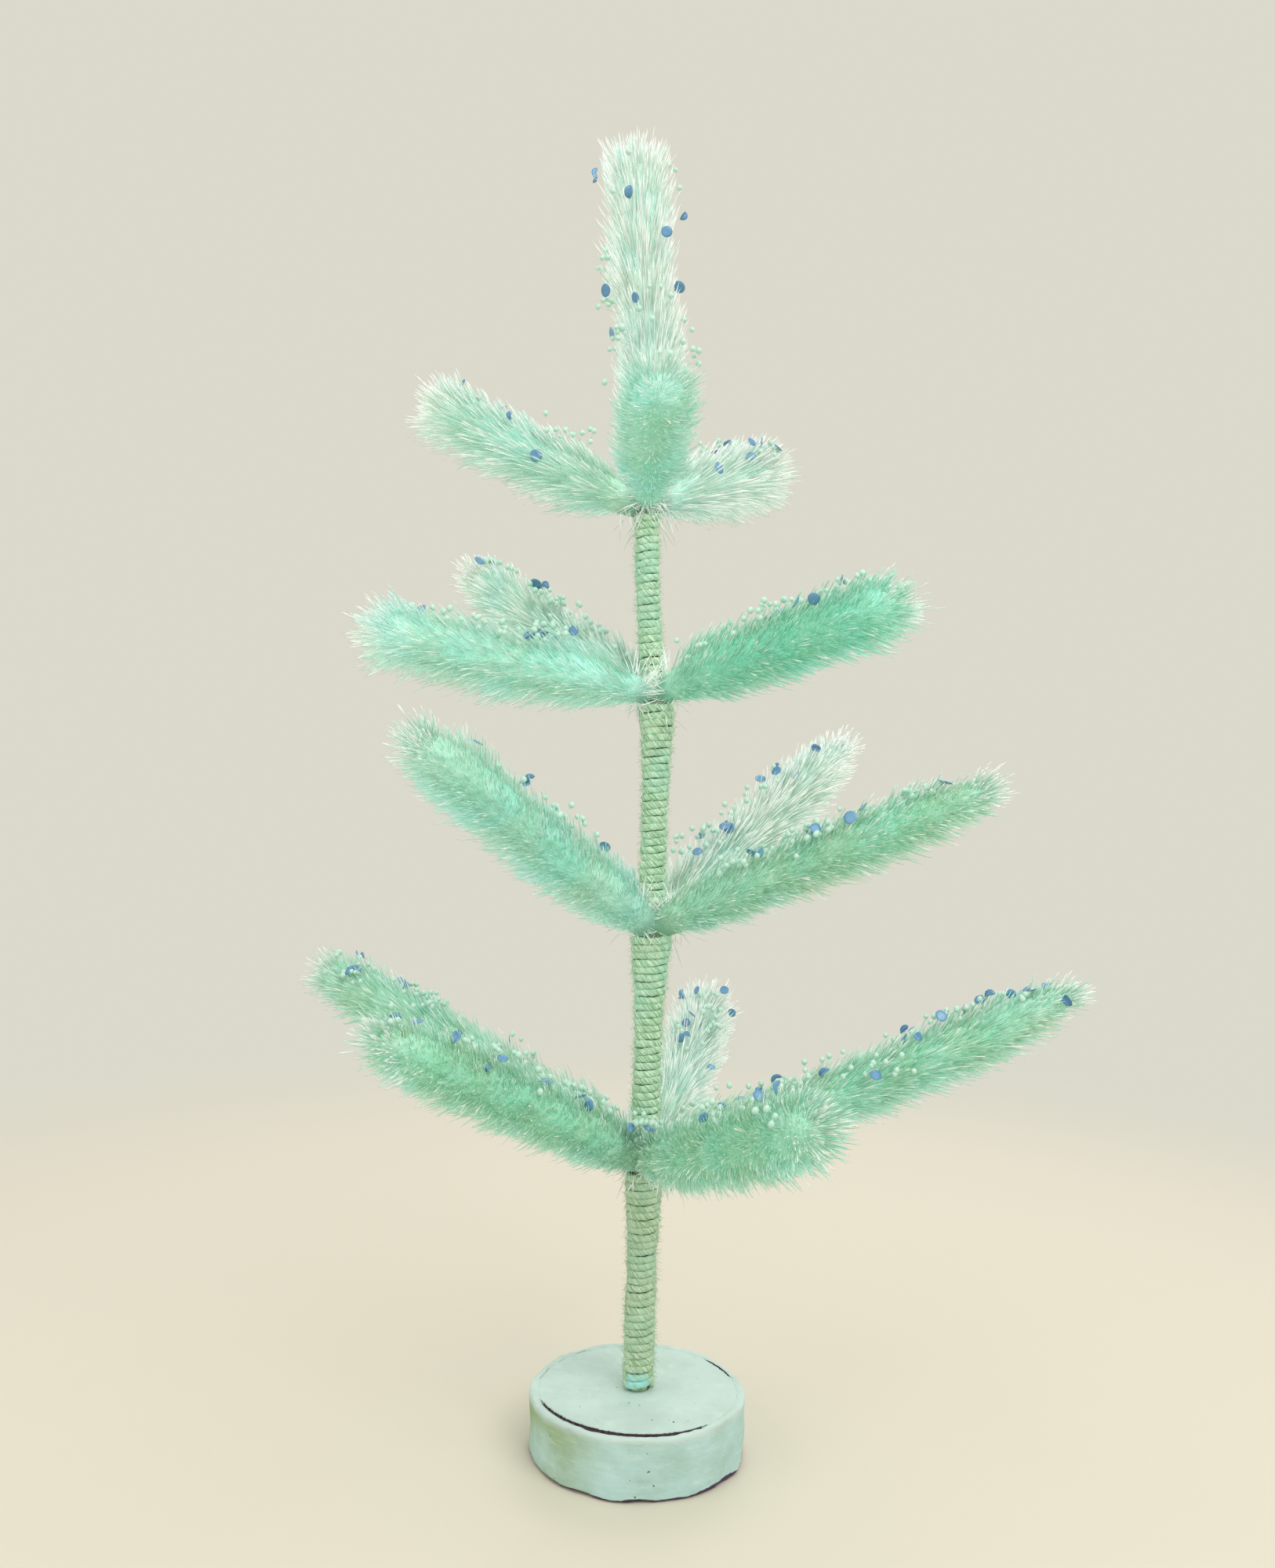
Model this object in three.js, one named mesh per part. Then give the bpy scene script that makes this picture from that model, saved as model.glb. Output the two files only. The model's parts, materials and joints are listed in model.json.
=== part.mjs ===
// Sisal easter tree: a painted slice of log, a cord-wound dowel and four tiers of bottle-brush
// branches, whose bound wires bend up and down where they leave the cord, under a brush leader.
// Millimetres, +Z up. The origin is the middle of the foot's underside, and the front faces -Y.
import * as THREE from 'three';

// Clearances
const fitGap = 0.3; // between two pieces that touch
const bendDrop = 2.0; // from a tier's height down to the cord below it
const bendRise = 3.4; // from a tier's height up to the first cord loop above it

// Foot: a slice of log with its bark on
const footDiameter = 100;
const footHeight = 28.5;
const barkThickness = 3.6;
const barkLip = 0.5; // the bark's rim above the wood
const barkFootGap = 0.5; // the bark's lower edge above the table
const barkEdgeRound = 2.2;
const barkChamfer = 0.7;
const barkSplit = 0.9; // how far the dried bark has come away from the wood
const socketFloor = 6.5; // wood left below the hole drilled for the dowel
const woodEdgeRound = 1.2;
const logLumps = [
  { waves: 2, heightShare: 0.007, phaseShare: 0.1 },
  { waves: 5, heightShare: 0.003, phaseShare: 0.62 },
];
const barkSplits = [
  { middleDegrees: -108, halfDegrees: 62 },
  { middleDegrees: 33, halfDegrees: 22 },
];

// Trunk: a tapered dowel that leans to the left above the third tier
const dowelFootDiameter = 9.2;
const dowelTopDiameter = 5.4;
const trunkLean = 7.4; // the trunk's top, left of its foot
const leanBelowTier = 8; // where the lean starts, below the third tier
const leanTier = 2;

// Cord wound round the dowel, closed up into sleeves above a few open loops in each stretch
const cordDiameter = 2.6;
const cordPitch = 3.25;
const cordLoops = 4;
const cordTurnIn = 1.5; // radius of the bend where an end turns along the trunk
const swellLength = 46; // below each tier the cord swells over the bound wires

// Wires
const wireDiameter = 1.4;
const tailLength = 22; // the end of each branch wire, bound under the cord

// Brushes of sisal fibre on the wires
const brushDiameter = 33;
const brushRootDiameter = 6.4;
const brushStart = 7; // bare wire between the bend and the first fibres
const flareLength = 36; // over which the brush reaches its full width
const closingLength = 30; // over which it draws in again to the tuft
const tuftLength = 15; // fibres past the end of the wire
const tuftDiameter = 13;
const brushLobes = 6;
const fluteShare = 0.56; // the radius between the brush's clumps of fibre, of the radius on them
const fibreWall = 1.6; // least fibre round the wire
const flareRingShare = 0.5; // rings of points along the flare, the brush and the tuft
const brushRingShares = [0.35, 0.7];
const tuftRingShare = 0.33;

// Single strands, on the four brushes that show most
const strandBrushes = ['1_right', '2_front_left', '3_front_right', 'leader'];
const backingDiameter = 20;
const strandWidth = 1.5;
const strandsAround = 10;
const strandRows = 10;
const firstRowShare = 0.33; // the first row's place, of the flare
const strandSweepDegrees = 45;
const tipSweepDegrees = 68;
const strandVaryShare = 0.16;

// Leader: the brush that stands on the trunk's top
const leaderSway = 12.2; // how far its tip stands left of the trunk's top
const leaderSwayShares = [[0, 0], [0.05, 0.38], [0.35, 0.55], [0.62, 0.78], [1, 1]];

// Whole tree
const treeHeight = 610;
const treeRadius = 207; // from the trunk's middle to the fibre tips of the longest branch

// Tiers from the lowest: the height of the bend as a share of the tree's, the swell of the cord
// below it as a share of the cord's width, and the branches. Each branch has its direction, turned
// from the right of the tree towards the back, its reach as a share of the tree's radius, its rise as a
// share of its own reach, and the share of the rise by which it sags, or arches where it is negative.
const tiers = [
  {
    heightShare: 0.2215,
    swellShare: 0.73,
    branches: [
      { name: '1_right', turnDegrees: 3, reachShare: 1, riseShare: 0.419, curlShare: 0.2 },
      { name: '1_front_right', turnDegrees: -71, reachShare: 0.89, riseShare: 0.355, curlShare: 0.1 },
      { name: '1_back', turnDegrees: 77, reachShare: 0.745, riseShare: 0.337, curlShare: 0.15 },
      { name: '1_back_left', turnDegrees: 151, reachShare: 1, riseShare: 0.348, curlShare: -0.06 },
      { name: '1_front_left', turnDegrees: -125, reachShare: 0.87, riseShare: 0.478, curlShare: -0.06 },
    ],
  },
  {
    heightShare: 0.4035,
    swellShare: 1.19,
    branches: [
      { name: '2_front_left', turnDegrees: -129, reachShare: 0.744, riseShare: 0.561, curlShare: 0.05 },
      { name: '2_back_right', turnDegrees: 47, reachShare: 0.754, riseShare: 0.595, curlShare: 0.08 },
      { name: '2_front_right', turnDegrees: -31, reachShare: 0.797, riseShare: 0.433, curlShare: -0.06 },
    ],
  },
  {
    heightShare: 0.579,
    swellShare: 0.85,
    branches: [
      { name: '3_front_left', turnDegrees: -155, reachShare: 0.672, riseShare: 0.17, curlShare: 0.1 },
      { name: '3_back_left', turnDegrees: 142, reachShare: 0.62, riseShare: 0.525, curlShare: 0.08 },
      { name: '3_front_right', turnDegrees: -38, reachShare: 0.638, riseShare: 0.295, curlShare: -0.2 },
    ],
  },
  {
    heightShare: 0.726,
    swellShare: 0.12,
    branches: [
      { name: '4_left', turnDegrees: 180, reachShare: 0.512, riseShare: 0.44, curlShare: 0.25 },
      { name: '4_back_right', turnDegrees: 49, reachShare: 0.465, riseShare: 0.34, curlShare: 0.1 },
      { name: '4_front', turnDegrees: -87.5, reachShare: 0.507, riseShare: 0.314, curlShare: -0.1 },
    ],
  },
];

// Facet counts
const barkSides = 36;
const edgeSteps = 2;
const trunkSides = 16;
const dowelSides = 12;
const socketSides = 12;
const wireSides = 6;
const wireSteps = 8;
const tailSteps = 3;
const swellSteps = 4;
const leanSteps = 4;
const stepsPerLoop = 24;
const turnInSteps = 3;
const cordSides = 6;

// Sizes that follow from the ones above
const wireRadius = wireDiameter / 2;
const boreRadius = wireRadius + fitGap;
const cordRadius = cordDiameter / 2;
const strandRadius = backingDiameter / 2;
const strandReach = brushDiameter / 2 - strandRadius;
const tierHeight = (tier) => treeHeight * tier.heightShare;
const trunkTop = tierHeight(tiers[tiers.length - 1]);
const dowelTop = trunkTop - wireRadius - fitGap;
const dowelFoot = socketFloor + fitGap;
const leanStart = tierHeight(tiers[leanTier]) - leanBelowTier;
const goldenShare = (Math.sqrt(5) - 1) / 2;
const quarterTurn = Math.PI / 2;
const fullTurn = Math.PI * 2;
const up = new THREE.Vector3(0, 0, 1);

const finishes = {
  bark: new THREE.MeshStandardMaterial({ color: 0xc3e1d0, roughness: 0.75, metalness: 0 }),
  wood: new THREE.MeshStandardMaterial({ color: 0xcbe8da, roughness: 0.7, metalness: 0 }),
  dowel: new THREE.MeshStandardMaterial({ color: 0xb99f78, roughness: 0.8, metalness: 0 }),
  cord: new THREE.MeshStandardMaterial({ color: 0xa5cba5, roughness: 0.9, metalness: 0 }),
  wire: new THREE.MeshStandardMaterial({ color: 0x8d958c, roughness: 0.4, metalness: 0.9 }),
  fibre: new THREE.MeshStandardMaterial({ color: 0x96d9c0, roughness: 0.85, metalness: 0 }),
};

// Skins: a closed body as a chain of rings of points, each ring anticlockwise about the chain

class Skin {
  constructor() {
    this.positions = [];
    this.faces = [];
  }

  add(points) {
    return points.map((p) => this.positions.push(p.x, p.y, p.z) / 3 - 1);
  }

  // joins two rings of any two counts with one band of triangles; one point alone is a pole
  stitch(a, b) {
    const aSteps = a.length > 1 ? a.length : 0;
    const bSteps = b.length > 1 ? b.length : 0;
    let i = 0;
    let j = 0;
    while (i < aSteps || j < bSteps) {
      const onA = j === bSteps || (i < aSteps && (i + 1) * bSteps <= (j + 1) * aSteps);
      const a0 = a[i % a.length];
      const b0 = b[j % b.length];
      if (onA) {
        i += 1;
        this.faces.push(a0, a[i % a.length], b0);
      } else {
        j += 1;
        this.faces.push(a0, b[j % b.length], b0);
      }
    }
  }

  chain(rings, closed = false) {
    const added = rings.map((ring) => this.add(ring));
    for (let k = 1; k < added.length; k += 1) this.stitch(added[k - 1], added[k]);
    if (closed) this.stitch(added[added.length - 1], added[0]);
    return added;
  }

  geometry() {
    const geometry = new THREE.BufferGeometry();
    geometry.setAttribute('position', new THREE.Float32BufferAttribute(this.positions, 3));
    geometry.setIndex(this.faces);
    geometry.computeVertexNormals();
    return geometry;
  }
}

function chainGeometry(rings, closed = false) {
  const skin = new Skin();
  skin.chain(rings, closed);
  return skin.geometry();
}

function named(name, geometry, finish) {
  const mesh = new THREE.Mesh(geometry, finish);
  mesh.name = name;
  return mesh;
}

// a level ring round the vertical line through middle, its radius a function of the angle
function levelRing(middle, radiusAt, sides) {
  return Array.from({ length: sides }, (_, i) => {
    const angle = (fullTurn * i) / sides;
    const radius = radiusAt(angle);
    const x = middle.x + radius * Math.cos(angle);
    const y = middle.y + radius * Math.sin(angle);
    return new THREE.Vector3(x, y, middle.z);
  });
}

// the place on a curve at a distance along it, with the two directions square to the curve
function frameOn(path, distance, side) {
  const share = THREE.MathUtils.clamp(distance / path.getLength(), 0, 1);
  const middle = path.getPointAt(share);
  const along = path.getTangentAt(share);
  const across = side.clone().addScaledVector(along, -side.dot(along)).normalize();
  return { middle, along, across, over: along.clone().cross(across) };
}

function outward(frame, angle) {
  const over = frame.over.clone().multiplyScalar(Math.sin(angle));
  return over.addScaledVector(frame.across, Math.cos(angle));
}

function ringOn(frame, angles, radiusAt) {
  return angles.map((angle, i) => {
    return frame.middle.clone().addScaledVector(outward(frame, angle), radiusAt(i));
  });
}

function evenShares(steps) {
  return Array.from({ length: steps + 1 }, (_, i) => i / steps);
}

function evenAngles(sides, shift = 0) {
  return Array.from({ length: sides }, (_, i) => (fullTurn * (i + shift)) / sides);
}

// Foot

function lumpShare(angle) {
  const lumps = logLumps.map((lump) => {
    return lump.heightShare * Math.sin(lump.waves * angle + fullTurn * lump.phaseShare);
  });
  return lumps.reduce((sum, lump) => sum + lump, 1);
}

// how far the bark stands off the wood: closed to the fitting gap, and open along the splits
function splitAt(angle) {
  const openings = barkSplits.map((split) => {
    const off = angle - THREE.MathUtils.degToRad(split.middleDegrees);
    const turn = Math.abs(Math.atan2(Math.sin(off), Math.cos(off)));
    const share = turn / THREE.MathUtils.degToRad(split.halfDegrees);
    return share < 1 ? Math.cos(share * quarterTurn) : 0;
  });
  return fitGap + barkSplit * Math.max(...openings);
}

function barkOuter(angle) {
  return (footDiameter / 2) * lumpShare(angle);
}

function barkInner(angle) {
  return barkOuter(angle) - barkThickness;
}

function woodOuter(angle) {
  return barkInner(angle) - splitAt(angle);
}

function makeWoodSlice() {
  const rim = (height, inset) => {
    const middle = new THREE.Vector3(0, 0, height);
    return levelRing(middle, (angle) => woodOuter(angle) - inset, barkSides);
  };
  const socket = (height) => {
    const radius = dowelFootDiameter / 2 + fitGap;
    return levelRing(new THREE.Vector3(0, 0, height), () => radius, socketSides);
  };
  const rings = [
    [new THREE.Vector3(0, 0, 0)],
    rim(0, woodEdgeRound),
    rim(woodEdgeRound, 0),
    rim(footHeight - woodEdgeRound, 0),
    rim(footHeight, woodEdgeRound),
    socket(footHeight),
    socket(socketFloor),
    [new THREE.Vector3(0, 0, socketFloor)],
  ];
  return named('wood_slice', chainGeometry(rings), finishes.wood);
}

function makeBark() {
  const rimAt = (height, radiusAt) => {
    return levelRing(new THREE.Vector3(0, 0, height), radiusAt, barkSides);
  };
  const rimTop = footHeight + barkLip;
  const roundedEdge = evenShares(edgeSteps).map((share) => {
    const height = rimTop - barkEdgeRound * (1 - Math.sin(share * quarterTurn));
    const inset = barkEdgeRound * (1 - Math.cos(share * quarterTurn));
    return rimAt(height, (angle) => barkOuter(angle) - inset);
  });
  const rings = [
    rimAt(rimTop, (angle) => barkInner(angle) + barkChamfer),
    rimAt(rimTop - barkChamfer, barkInner),
    rimAt(barkFootGap, barkInner),
    rimAt(barkFootGap, (angle) => barkOuter(angle) - barkChamfer),
    rimAt(barkFootGap + barkChamfer, barkOuter),
    ...roundedEdge,
  ];
  return named('bark_ring', chainGeometry(rings, true), finishes.bark);
}

// Trunk

function trunkMiddle(height) {
  const share = THREE.MathUtils.clamp((height - leanStart) / (trunkTop - leanStart), 0, 1);
  return new THREE.Vector3(-trunkLean * (1 - (1 - share) ** 2), 0, height);
}

function dowelRadius(height) {
  const share = THREE.MathUtils.clamp((height - footHeight) / (trunkTop - footHeight), 0, 1);
  return THREE.MathUtils.lerp(dowelFootDiameter, dowelTopDiameter, share) / 2;
}

function tailCircle(height) {
  return dowelRadius(height) + fitGap + wireRadius;
}

function makeDowel() {
  const leaning = evenShares(leanSteps).map((share) => {
    return THREE.MathUtils.lerp(leanStart, dowelTop, share);
  });
  const heights = [dowelFoot, footHeight, ...leaning];
  const rings = heights.map((height) => {
    return levelRing(trunkMiddle(height), () => dowelRadius(height), dowelSides);
  });
  rings.unshift([trunkMiddle(dowelFoot)]);
  rings.push([trunkMiddle(dowelTop)]);
  return named('trunk_dowel', chainGeometry(rings), finishes.dowel);
}

// one stretch of the cord: open loops at its foot, and the closed sleeve from there to the tier
function stretchOf(tierIndex) {
  const tier = tiers[tierIndex];
  const onFoot = tierIndex === 0;
  const below = onFoot ? footHeight : tierHeight(tiers[tierIndex - 1]);
  const floor = onFoot ? below : below - bendDrop;
  const loopRise = onFoot ? fitGap + cordDiameter + cordTurnIn : bendRise + cordRadius;
  const firstLoop = below + loopRise;
  const lastLoop = firstLoop + cordLoops * cordPitch;
  const sleeveFoot = lastLoop + cordTurnIn + cordDiameter + fitGap;
  const sleeveTop = tierHeight(tier) - bendDrop;
  return { tier, floor, firstLoop, lastLoop, sleeveFoot, sleeveTop };
}

function sleeveRadius(stretch, height) {
  const { sleeveTop, tier } = stretch;
  const plain = dowelRadius(height) + fitGap + cordDiameter;
  const swell = cordDiameter * tier.swellShare;
  return plain + swell * THREE.MathUtils.smoothstep(height, sleeveTop - swellLength, sleeveTop);
}

function makeSleeve(tierIndex) {
  const stretch = stretchOf(tierIndex);
  const { sleeveFoot, sleeveTop } = stretch;
  const tailFoot = sleeveTop - tailLength - fitGap;
  const ringAt = (height, radius) => levelRing(trunkMiddle(height), () => radius, trunkSides);
  const swellHeights = evenShares(swellSteps).map((share) => sleeveTop - (1 - share) * swellLength);
  const outerHeights = [sleeveFoot, ...swellHeights.filter((height) => height > sleeveFoot)];
  const outer = outerHeights.map((height) => ringAt(height, sleeveRadius(stretch, height)));
  const tailHeights = evenShares(tailSteps).map((share) => {
    return THREE.MathUtils.lerp(sleeveTop, tailFoot, share);
  });
  const cavity = tailHeights.map((height) => ringAt(height, tailCircle(height) + boreRadius));
  const plainHeights = [tailFoot, (tailFoot + sleeveFoot) / 2, sleeveFoot];
  const bore = plainHeights.map((height) => ringAt(height, dowelRadius(height) + fitGap));
  const rings = [...outer, ...cavity, ...bore];
  return named(`cord_sleeve_${tierIndex + 1}`, chainGeometry(rings, true), finishes.cord);
}

// The open loops. Unrolled, the cord runs straight up, turns a quarter circle into its slope,
// climbs one pitch a loop, turns up again and runs straight into the sleeve.
function windingPlaces(stretch, radius, startAngle) {
  const places = [];
  const put = (run, height) => places.push({ angle: startAngle + run / radius, height });
  const helixRun = cordLoops * fullTurn * radius;
  put(0, stretch.floor + fitGap);
  for (let i = 0; i <= turnInSteps; i += 1) {
    const turn = (quarterTurn * i) / turnInSteps;
    const height = stretch.firstLoop - cordTurnIn * (1 - Math.sin(turn));
    put(cordTurnIn * (1 - Math.cos(turn)), height);
  }
  const steps = cordLoops * stepsPerLoop;
  for (let i = 1; i < steps; i += 1) {
    const share = i / steps;
    const height = THREE.MathUtils.lerp(stretch.firstLoop, stretch.lastLoop, share);
    put(cordTurnIn + helixRun * share, height);
  }
  for (let i = 0; i <= turnInSteps; i += 1) {
    const turn = (quarterTurn * i) / turnInSteps;
    const height = stretch.lastLoop + cordTurnIn * (1 - Math.cos(turn));
    put(cordTurnIn + helixRun + cordTurnIn * Math.sin(turn), height);
  }
  put(helixRun + cordTurnIn * 2, stretch.sleeveFoot - fitGap);
  return places;
}

// least distance between two centre points half a turn or more apart, less the cord's width
function leastGap(points) {
  const away = stepsPerLoop / 2;
  let least = Infinity;
  for (let i = 0; i < points.length; i += 1) {
    for (let j = i + away; j < points.length; j += 1) {
      least = Math.min(least, points[i].distanceTo(points[j]));
    }
  }
  return least - cordDiameter;
}

// the middle of the widest free sector between the branches of the tier below
function freeSector(tierIndex) {
  if (tierIndex === 0) return -quarterTurn;
  const turns = tiers[tierIndex - 1].branches
    .map((branch) => THREE.MathUtils.degToRad(branch.turnDegrees))
    .sort((a, b) => a - b);
  const sectors = turns.map((turn, i) => {
    const next = i + 1 < turns.length ? turns[i + 1] : turns[0] + fullTurn;
    return { middle: (turn + next) / 2, width: next - turn };
  });
  return sectors.reduce((best, sector) => (sector.width > best.width ? sector : best)).middle;
}

function makeWinding(tierIndex) {
  const stretch = stretchOf(tierIndex);
  const clear = fitGap + cordRadius;
  const radiusAt = (height) => dowelRadius(height) + clear;
  const places = windingPlaces(stretch, radiusAt(stretch.firstLoop), freeSector(tierIndex));
  const points = places.map(({ angle, height }) => {
    const middle = trunkMiddle(height);
    middle.x += radiusAt(height) * Math.cos(angle);
    middle.y += radiusAt(height) * Math.sin(angle);
    return middle;
  });
  const rings = points.map((point, i) => {
    const before = points[Math.max(i - 1, 0)];
    const after = points[Math.min(i + 1, points.length - 1)];
    const along = after.clone().sub(before).normalize();
    const { angle } = places[i];
    const side = new THREE.Vector3(Math.cos(angle), Math.sin(angle), 0);
    side.addScaledVector(along, -side.dot(along)).normalize();
    const frame = { middle: point, along, across: side, over: along.clone().cross(side) };
    return ringOn(frame, evenAngles(cordSides), () => cordRadius);
  });
  rings.unshift([points[0]]);
  rings.push([points[points.length - 1]]);
  console.log(`cord winding ${tierIndex + 1}: least gap to itself ${leastGap(points).toFixed(2)} mm`);
  return named(`cord_winding_${tierIndex + 1}`, chainGeometry(rings), finishes.cord);
}

// Branches

function makeTail(tier, branch) {
  const turn = THREE.MathUtils.degToRad(branch.turnDegrees);
  const top = tierHeight(tier) - wireRadius - fitGap;
  const foot = tierHeight(tier) - bendDrop - tailLength;
  const rings = evenShares(tailSteps).map((share) => {
    const height = THREE.MathUtils.lerp(foot, top, share);
    const middle = trunkMiddle(height);
    middle.x += tailCircle(height) * Math.cos(turn);
    middle.y += tailCircle(height) * Math.sin(turn);
    return levelRing(middle, () => wireRadius, wireSides);
  });
  const pole = (ring) => {
    const middle = ring.reduce((sum, point) => sum.add(point), new THREE.Vector3());
    return [middle.divideScalar(ring.length)];
  };
  rings.unshift(pole(rings[0]));
  rings.push(pole(rings[rings.length - 1]));
  return named(`wire_tail_${branch.name}`, chainGeometry(rings), finishes.wire);
}

// a branch's middle line, from its bend in the cord to the tips of its fibres
function branchPath(tier, branch) {
  const turn = THREE.MathUtils.degToRad(branch.turnDegrees);
  const out = new THREE.Vector3(Math.cos(turn), Math.sin(turn), 0);
  const middle = trunkMiddle(tierHeight(tier));
  const root = middle.clone().addScaledVector(out, tailCircle(tierHeight(tier)));
  const reach = treeRadius * branch.reachShare;
  const rise = reach * branch.riseShare;
  const tip = middle.clone().addScaledVector(out, reach);
  tip.z += rise;
  const bend = root.clone().lerp(tip, 0.5);
  bend.z -= (rise * branch.curlShare) / 2;
  return { path: new THREE.QuadraticBezierCurve3(root, bend, tip), side: out.cross(up) };
}

// the leader's middle line stands upright at first and then sways to the left
function leaderPath() {
  const length = treeHeight - trunkTop;
  const foot = trunkMiddle(trunkTop);
  const points = leaderSwayShares.map(([swayShare, share]) => {
    return new THREE.Vector3(foot.x - leaderSway * swayShare, 0, foot.z + length * share);
  });
  return { path: new THREE.CatmullRomCurve3(points), side: new THREE.Vector3(0, -1, 0) };
}

function wireEnd(path) {
  return path.getLength() - tuftLength;
}

function makeWire(name, { path, side }) {
  const rings = Array.from({ length: wireSteps + 1 }, (_, i) => {
    const frame = frameOn(path, (wireEnd(path) * i) / wireSteps, side);
    return ringOn(frame, evenAngles(wireSides), () => wireRadius);
  });
  const foot = frameOn(path, 0, side);
  rings.unshift([foot.middle.clone().addScaledVector(foot.along, -wireRadius)]);
  rings.push([frameOn(path, wireEnd(path), side).middle]);
  return named(`wire_${name}`, chainGeometry(rings), finishes.wire);
}

// the blind bore that the wire fills, from its end to its mouth
function boreRings({ path, side }) {
  const deep = wireEnd(path) + fitGap;
  const rings = Array.from({ length: wireSteps + 1 }, (_, i) => {
    const distance = THREE.MathUtils.lerp(deep, brushStart, i / wireSteps);
    return ringOn(frameOn(path, distance, side), evenAngles(wireSides), () => boreRadius);
  });
  rings.unshift([frameOn(path, deep, side).middle]);
  return rings;
}

// the brush's outer radius: narrow at the bend, flaring to its full width, closing at the tuft
function brushRadius(path, distance) {
  const flare = THREE.MathUtils.clamp((distance - brushStart) / flareLength, 0, 1);
  const full = THREE.MathUtils.lerp(brushRootDiameter, brushDiameter, flare) / 2;
  const left = path.getLength() - distance;
  const closing = THREE.MathUtils.clamp(left / closingLength, 0, 1);
  return THREE.MathUtils.lerp(tuftDiameter / 2, full, Math.sqrt(closing));
}

function makePlainBrush(name, { path, side }) {
  const length = path.getLength();
  const flareEnd = brushStart + flareLength;
  const tuftFoot = length - closingLength;
  const distances = [
    brushStart,
    brushStart + flareLength * flareRingShare,
    flareEnd,
    ...brushRingShares.map((share) => THREE.MathUtils.lerp(flareEnd, tuftFoot, share)),
    tuftFoot,
    length - tuftLength,
    length - tuftLength * tuftRingShare,
  ];
  const angles = evenAngles(brushLobes * 2);
  const rings = distances.map((distance) => {
    const radius = brushRadius(path, distance);
    const flute = Math.max(radius * fluteShare, boreRadius + fibreWall);
    const lobe = (i) => (i % 2 === 0 ? radius : flute);
    return ringOn(frameOn(path, distance, side), angles, lobe);
  });
  rings.push([frameOn(path, length, side).middle]);
  const geometry = chainGeometry([...boreRings({ path, side }), ...rings]);
  return named(`brush_${name}`, geometry, finishes.fibre);
}

// One row of strands. Its lower ring has two points for each strand and its upper ring one, so
// that every third triangle between them is a strand's foot, which is drawn out to a tip.
function addStrandRow(skin, ringBelow, { path, side }, row) {
  const { distance, radius, sweep, shift, first } = row;
  const lowFrame = frameOn(path, distance, side);
  const highFrame = frameOn(path, distance + strandWidth, side);
  const middles = evenAngles(strandsAround, shift);
  const half = strandWidth / 2 / radius;
  const lowAngles = middles.flatMap((angle) => [angle - half, angle + half]);
  const low = skin.add(ringOn(lowFrame, lowAngles, () => radius));
  const high = skin.add(ringOn(highFrame, middles, () => radius));
  skin.stitch(ringBelow, low);
  const reach = brushRadius(path, distance + strandReach) - radius;
  middles.forEach((angle, i) => {
    const [a, b] = [low[i * 2], low[i * 2 + 1]];
    const next = (i + 1) % strandsAround;
    const vary = 1 - strandVaryShare * (((first + i) * goldenShare) % 1);
    const length = (reach * vary) / Math.cos(THREE.MathUtils.degToRad(strandSweepDegrees));
    const tip = lowFrame.middle.clone().lerp(highFrame.middle, 0.5);
    tip.addScaledVector(outward(lowFrame, angle), radius + length * Math.cos(sweep));
    tip.addScaledVector(lowFrame.along, length * Math.sin(sweep));
    const [apex] = skin.add([tip]);
    skin.faces.push(a, b, apex, b, high[i], apex, high[i], a, apex);
    skin.faces.push(b, low[next * 2], high[i], low[next * 2], high[next], high[i]);
  });
  return high;
}

function makeStrandBrush(name, { path, side }) {
  const length = path.getLength();
  const skin = new Skin();
  const bore = skin.chain(boreRings({ path, side }));
  const mouthRadius = brushRootDiameter / 2;
  const mouthFrame = frameOn(path, brushStart, side);
  const angles = evenAngles(strandsAround);
  const mouth = skin.add(ringOn(mouthFrame, angles, () => mouthRadius));
  skin.stitch(bore[bore.length - 1], mouth);
  const firstRow = brushStart + flareLength * firstRowShare;
  const lastRow = wireEnd(path) - strandWidth;
  let below = mouth;
  for (let k = 0; k < strandRows; k += 1) {
    const share = k / (strandRows - 1);
    const distance = THREE.MathUtils.lerp(firstRow, lastRow, share);
    const flare = THREE.MathUtils.clamp((distance - brushStart) / flareLength, 0, 1);
    const sweep = THREE.MathUtils.lerp(strandSweepDegrees, tipSweepDegrees, share ** 3);
    const row = {
      distance,
      radius: THREE.MathUtils.lerp(mouthRadius, strandRadius, flare),
      sweep: THREE.MathUtils.degToRad(sweep),
      shift: (k % 2) / 2,
      first: k * strandsAround,
    };
    below = addStrandRow(skin, below, { path, side }, row);
  }
  const tip = skin.add([frameOn(path, length, side).middle]);
  skin.stitch(below, tip);
  return named(`brush_${name}`, skin.geometry(), finishes.fibre);
}

function makeBranch(name, line) {
  const makeBrush = strandBrushes.includes(name) ? makeStrandBrush : makePlainBrush;
  return [makeWire(name, line), makeBrush(name, line)];
}

// Assembly

const tree = new THREE.Group();
tree.name = 'sisal_easter_tree';
tree.add(makeWoodSlice(), makeBark(), makeDowel());
tiers.forEach((tier, tierIndex) => {
  tree.add(makeWinding(tierIndex), makeSleeve(tierIndex));
  tier.branches.forEach((branch) => {
    tree.add(makeTail(tier, branch), ...makeBranch(branch.name, branchPath(tier, branch)));
  });
});
tree.add(...makeBranch('leader', leaderPath()));

export default tree;
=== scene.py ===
"""Sisal easter tree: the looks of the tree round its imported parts.

Metres, +Z up, the front faces -Y. Lengths are written in millimetres times MM.
"""

import json
import math
from collections import namedtuple

import bpy
import numpy as np
from mathutils import Matrix, Vector


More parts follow.
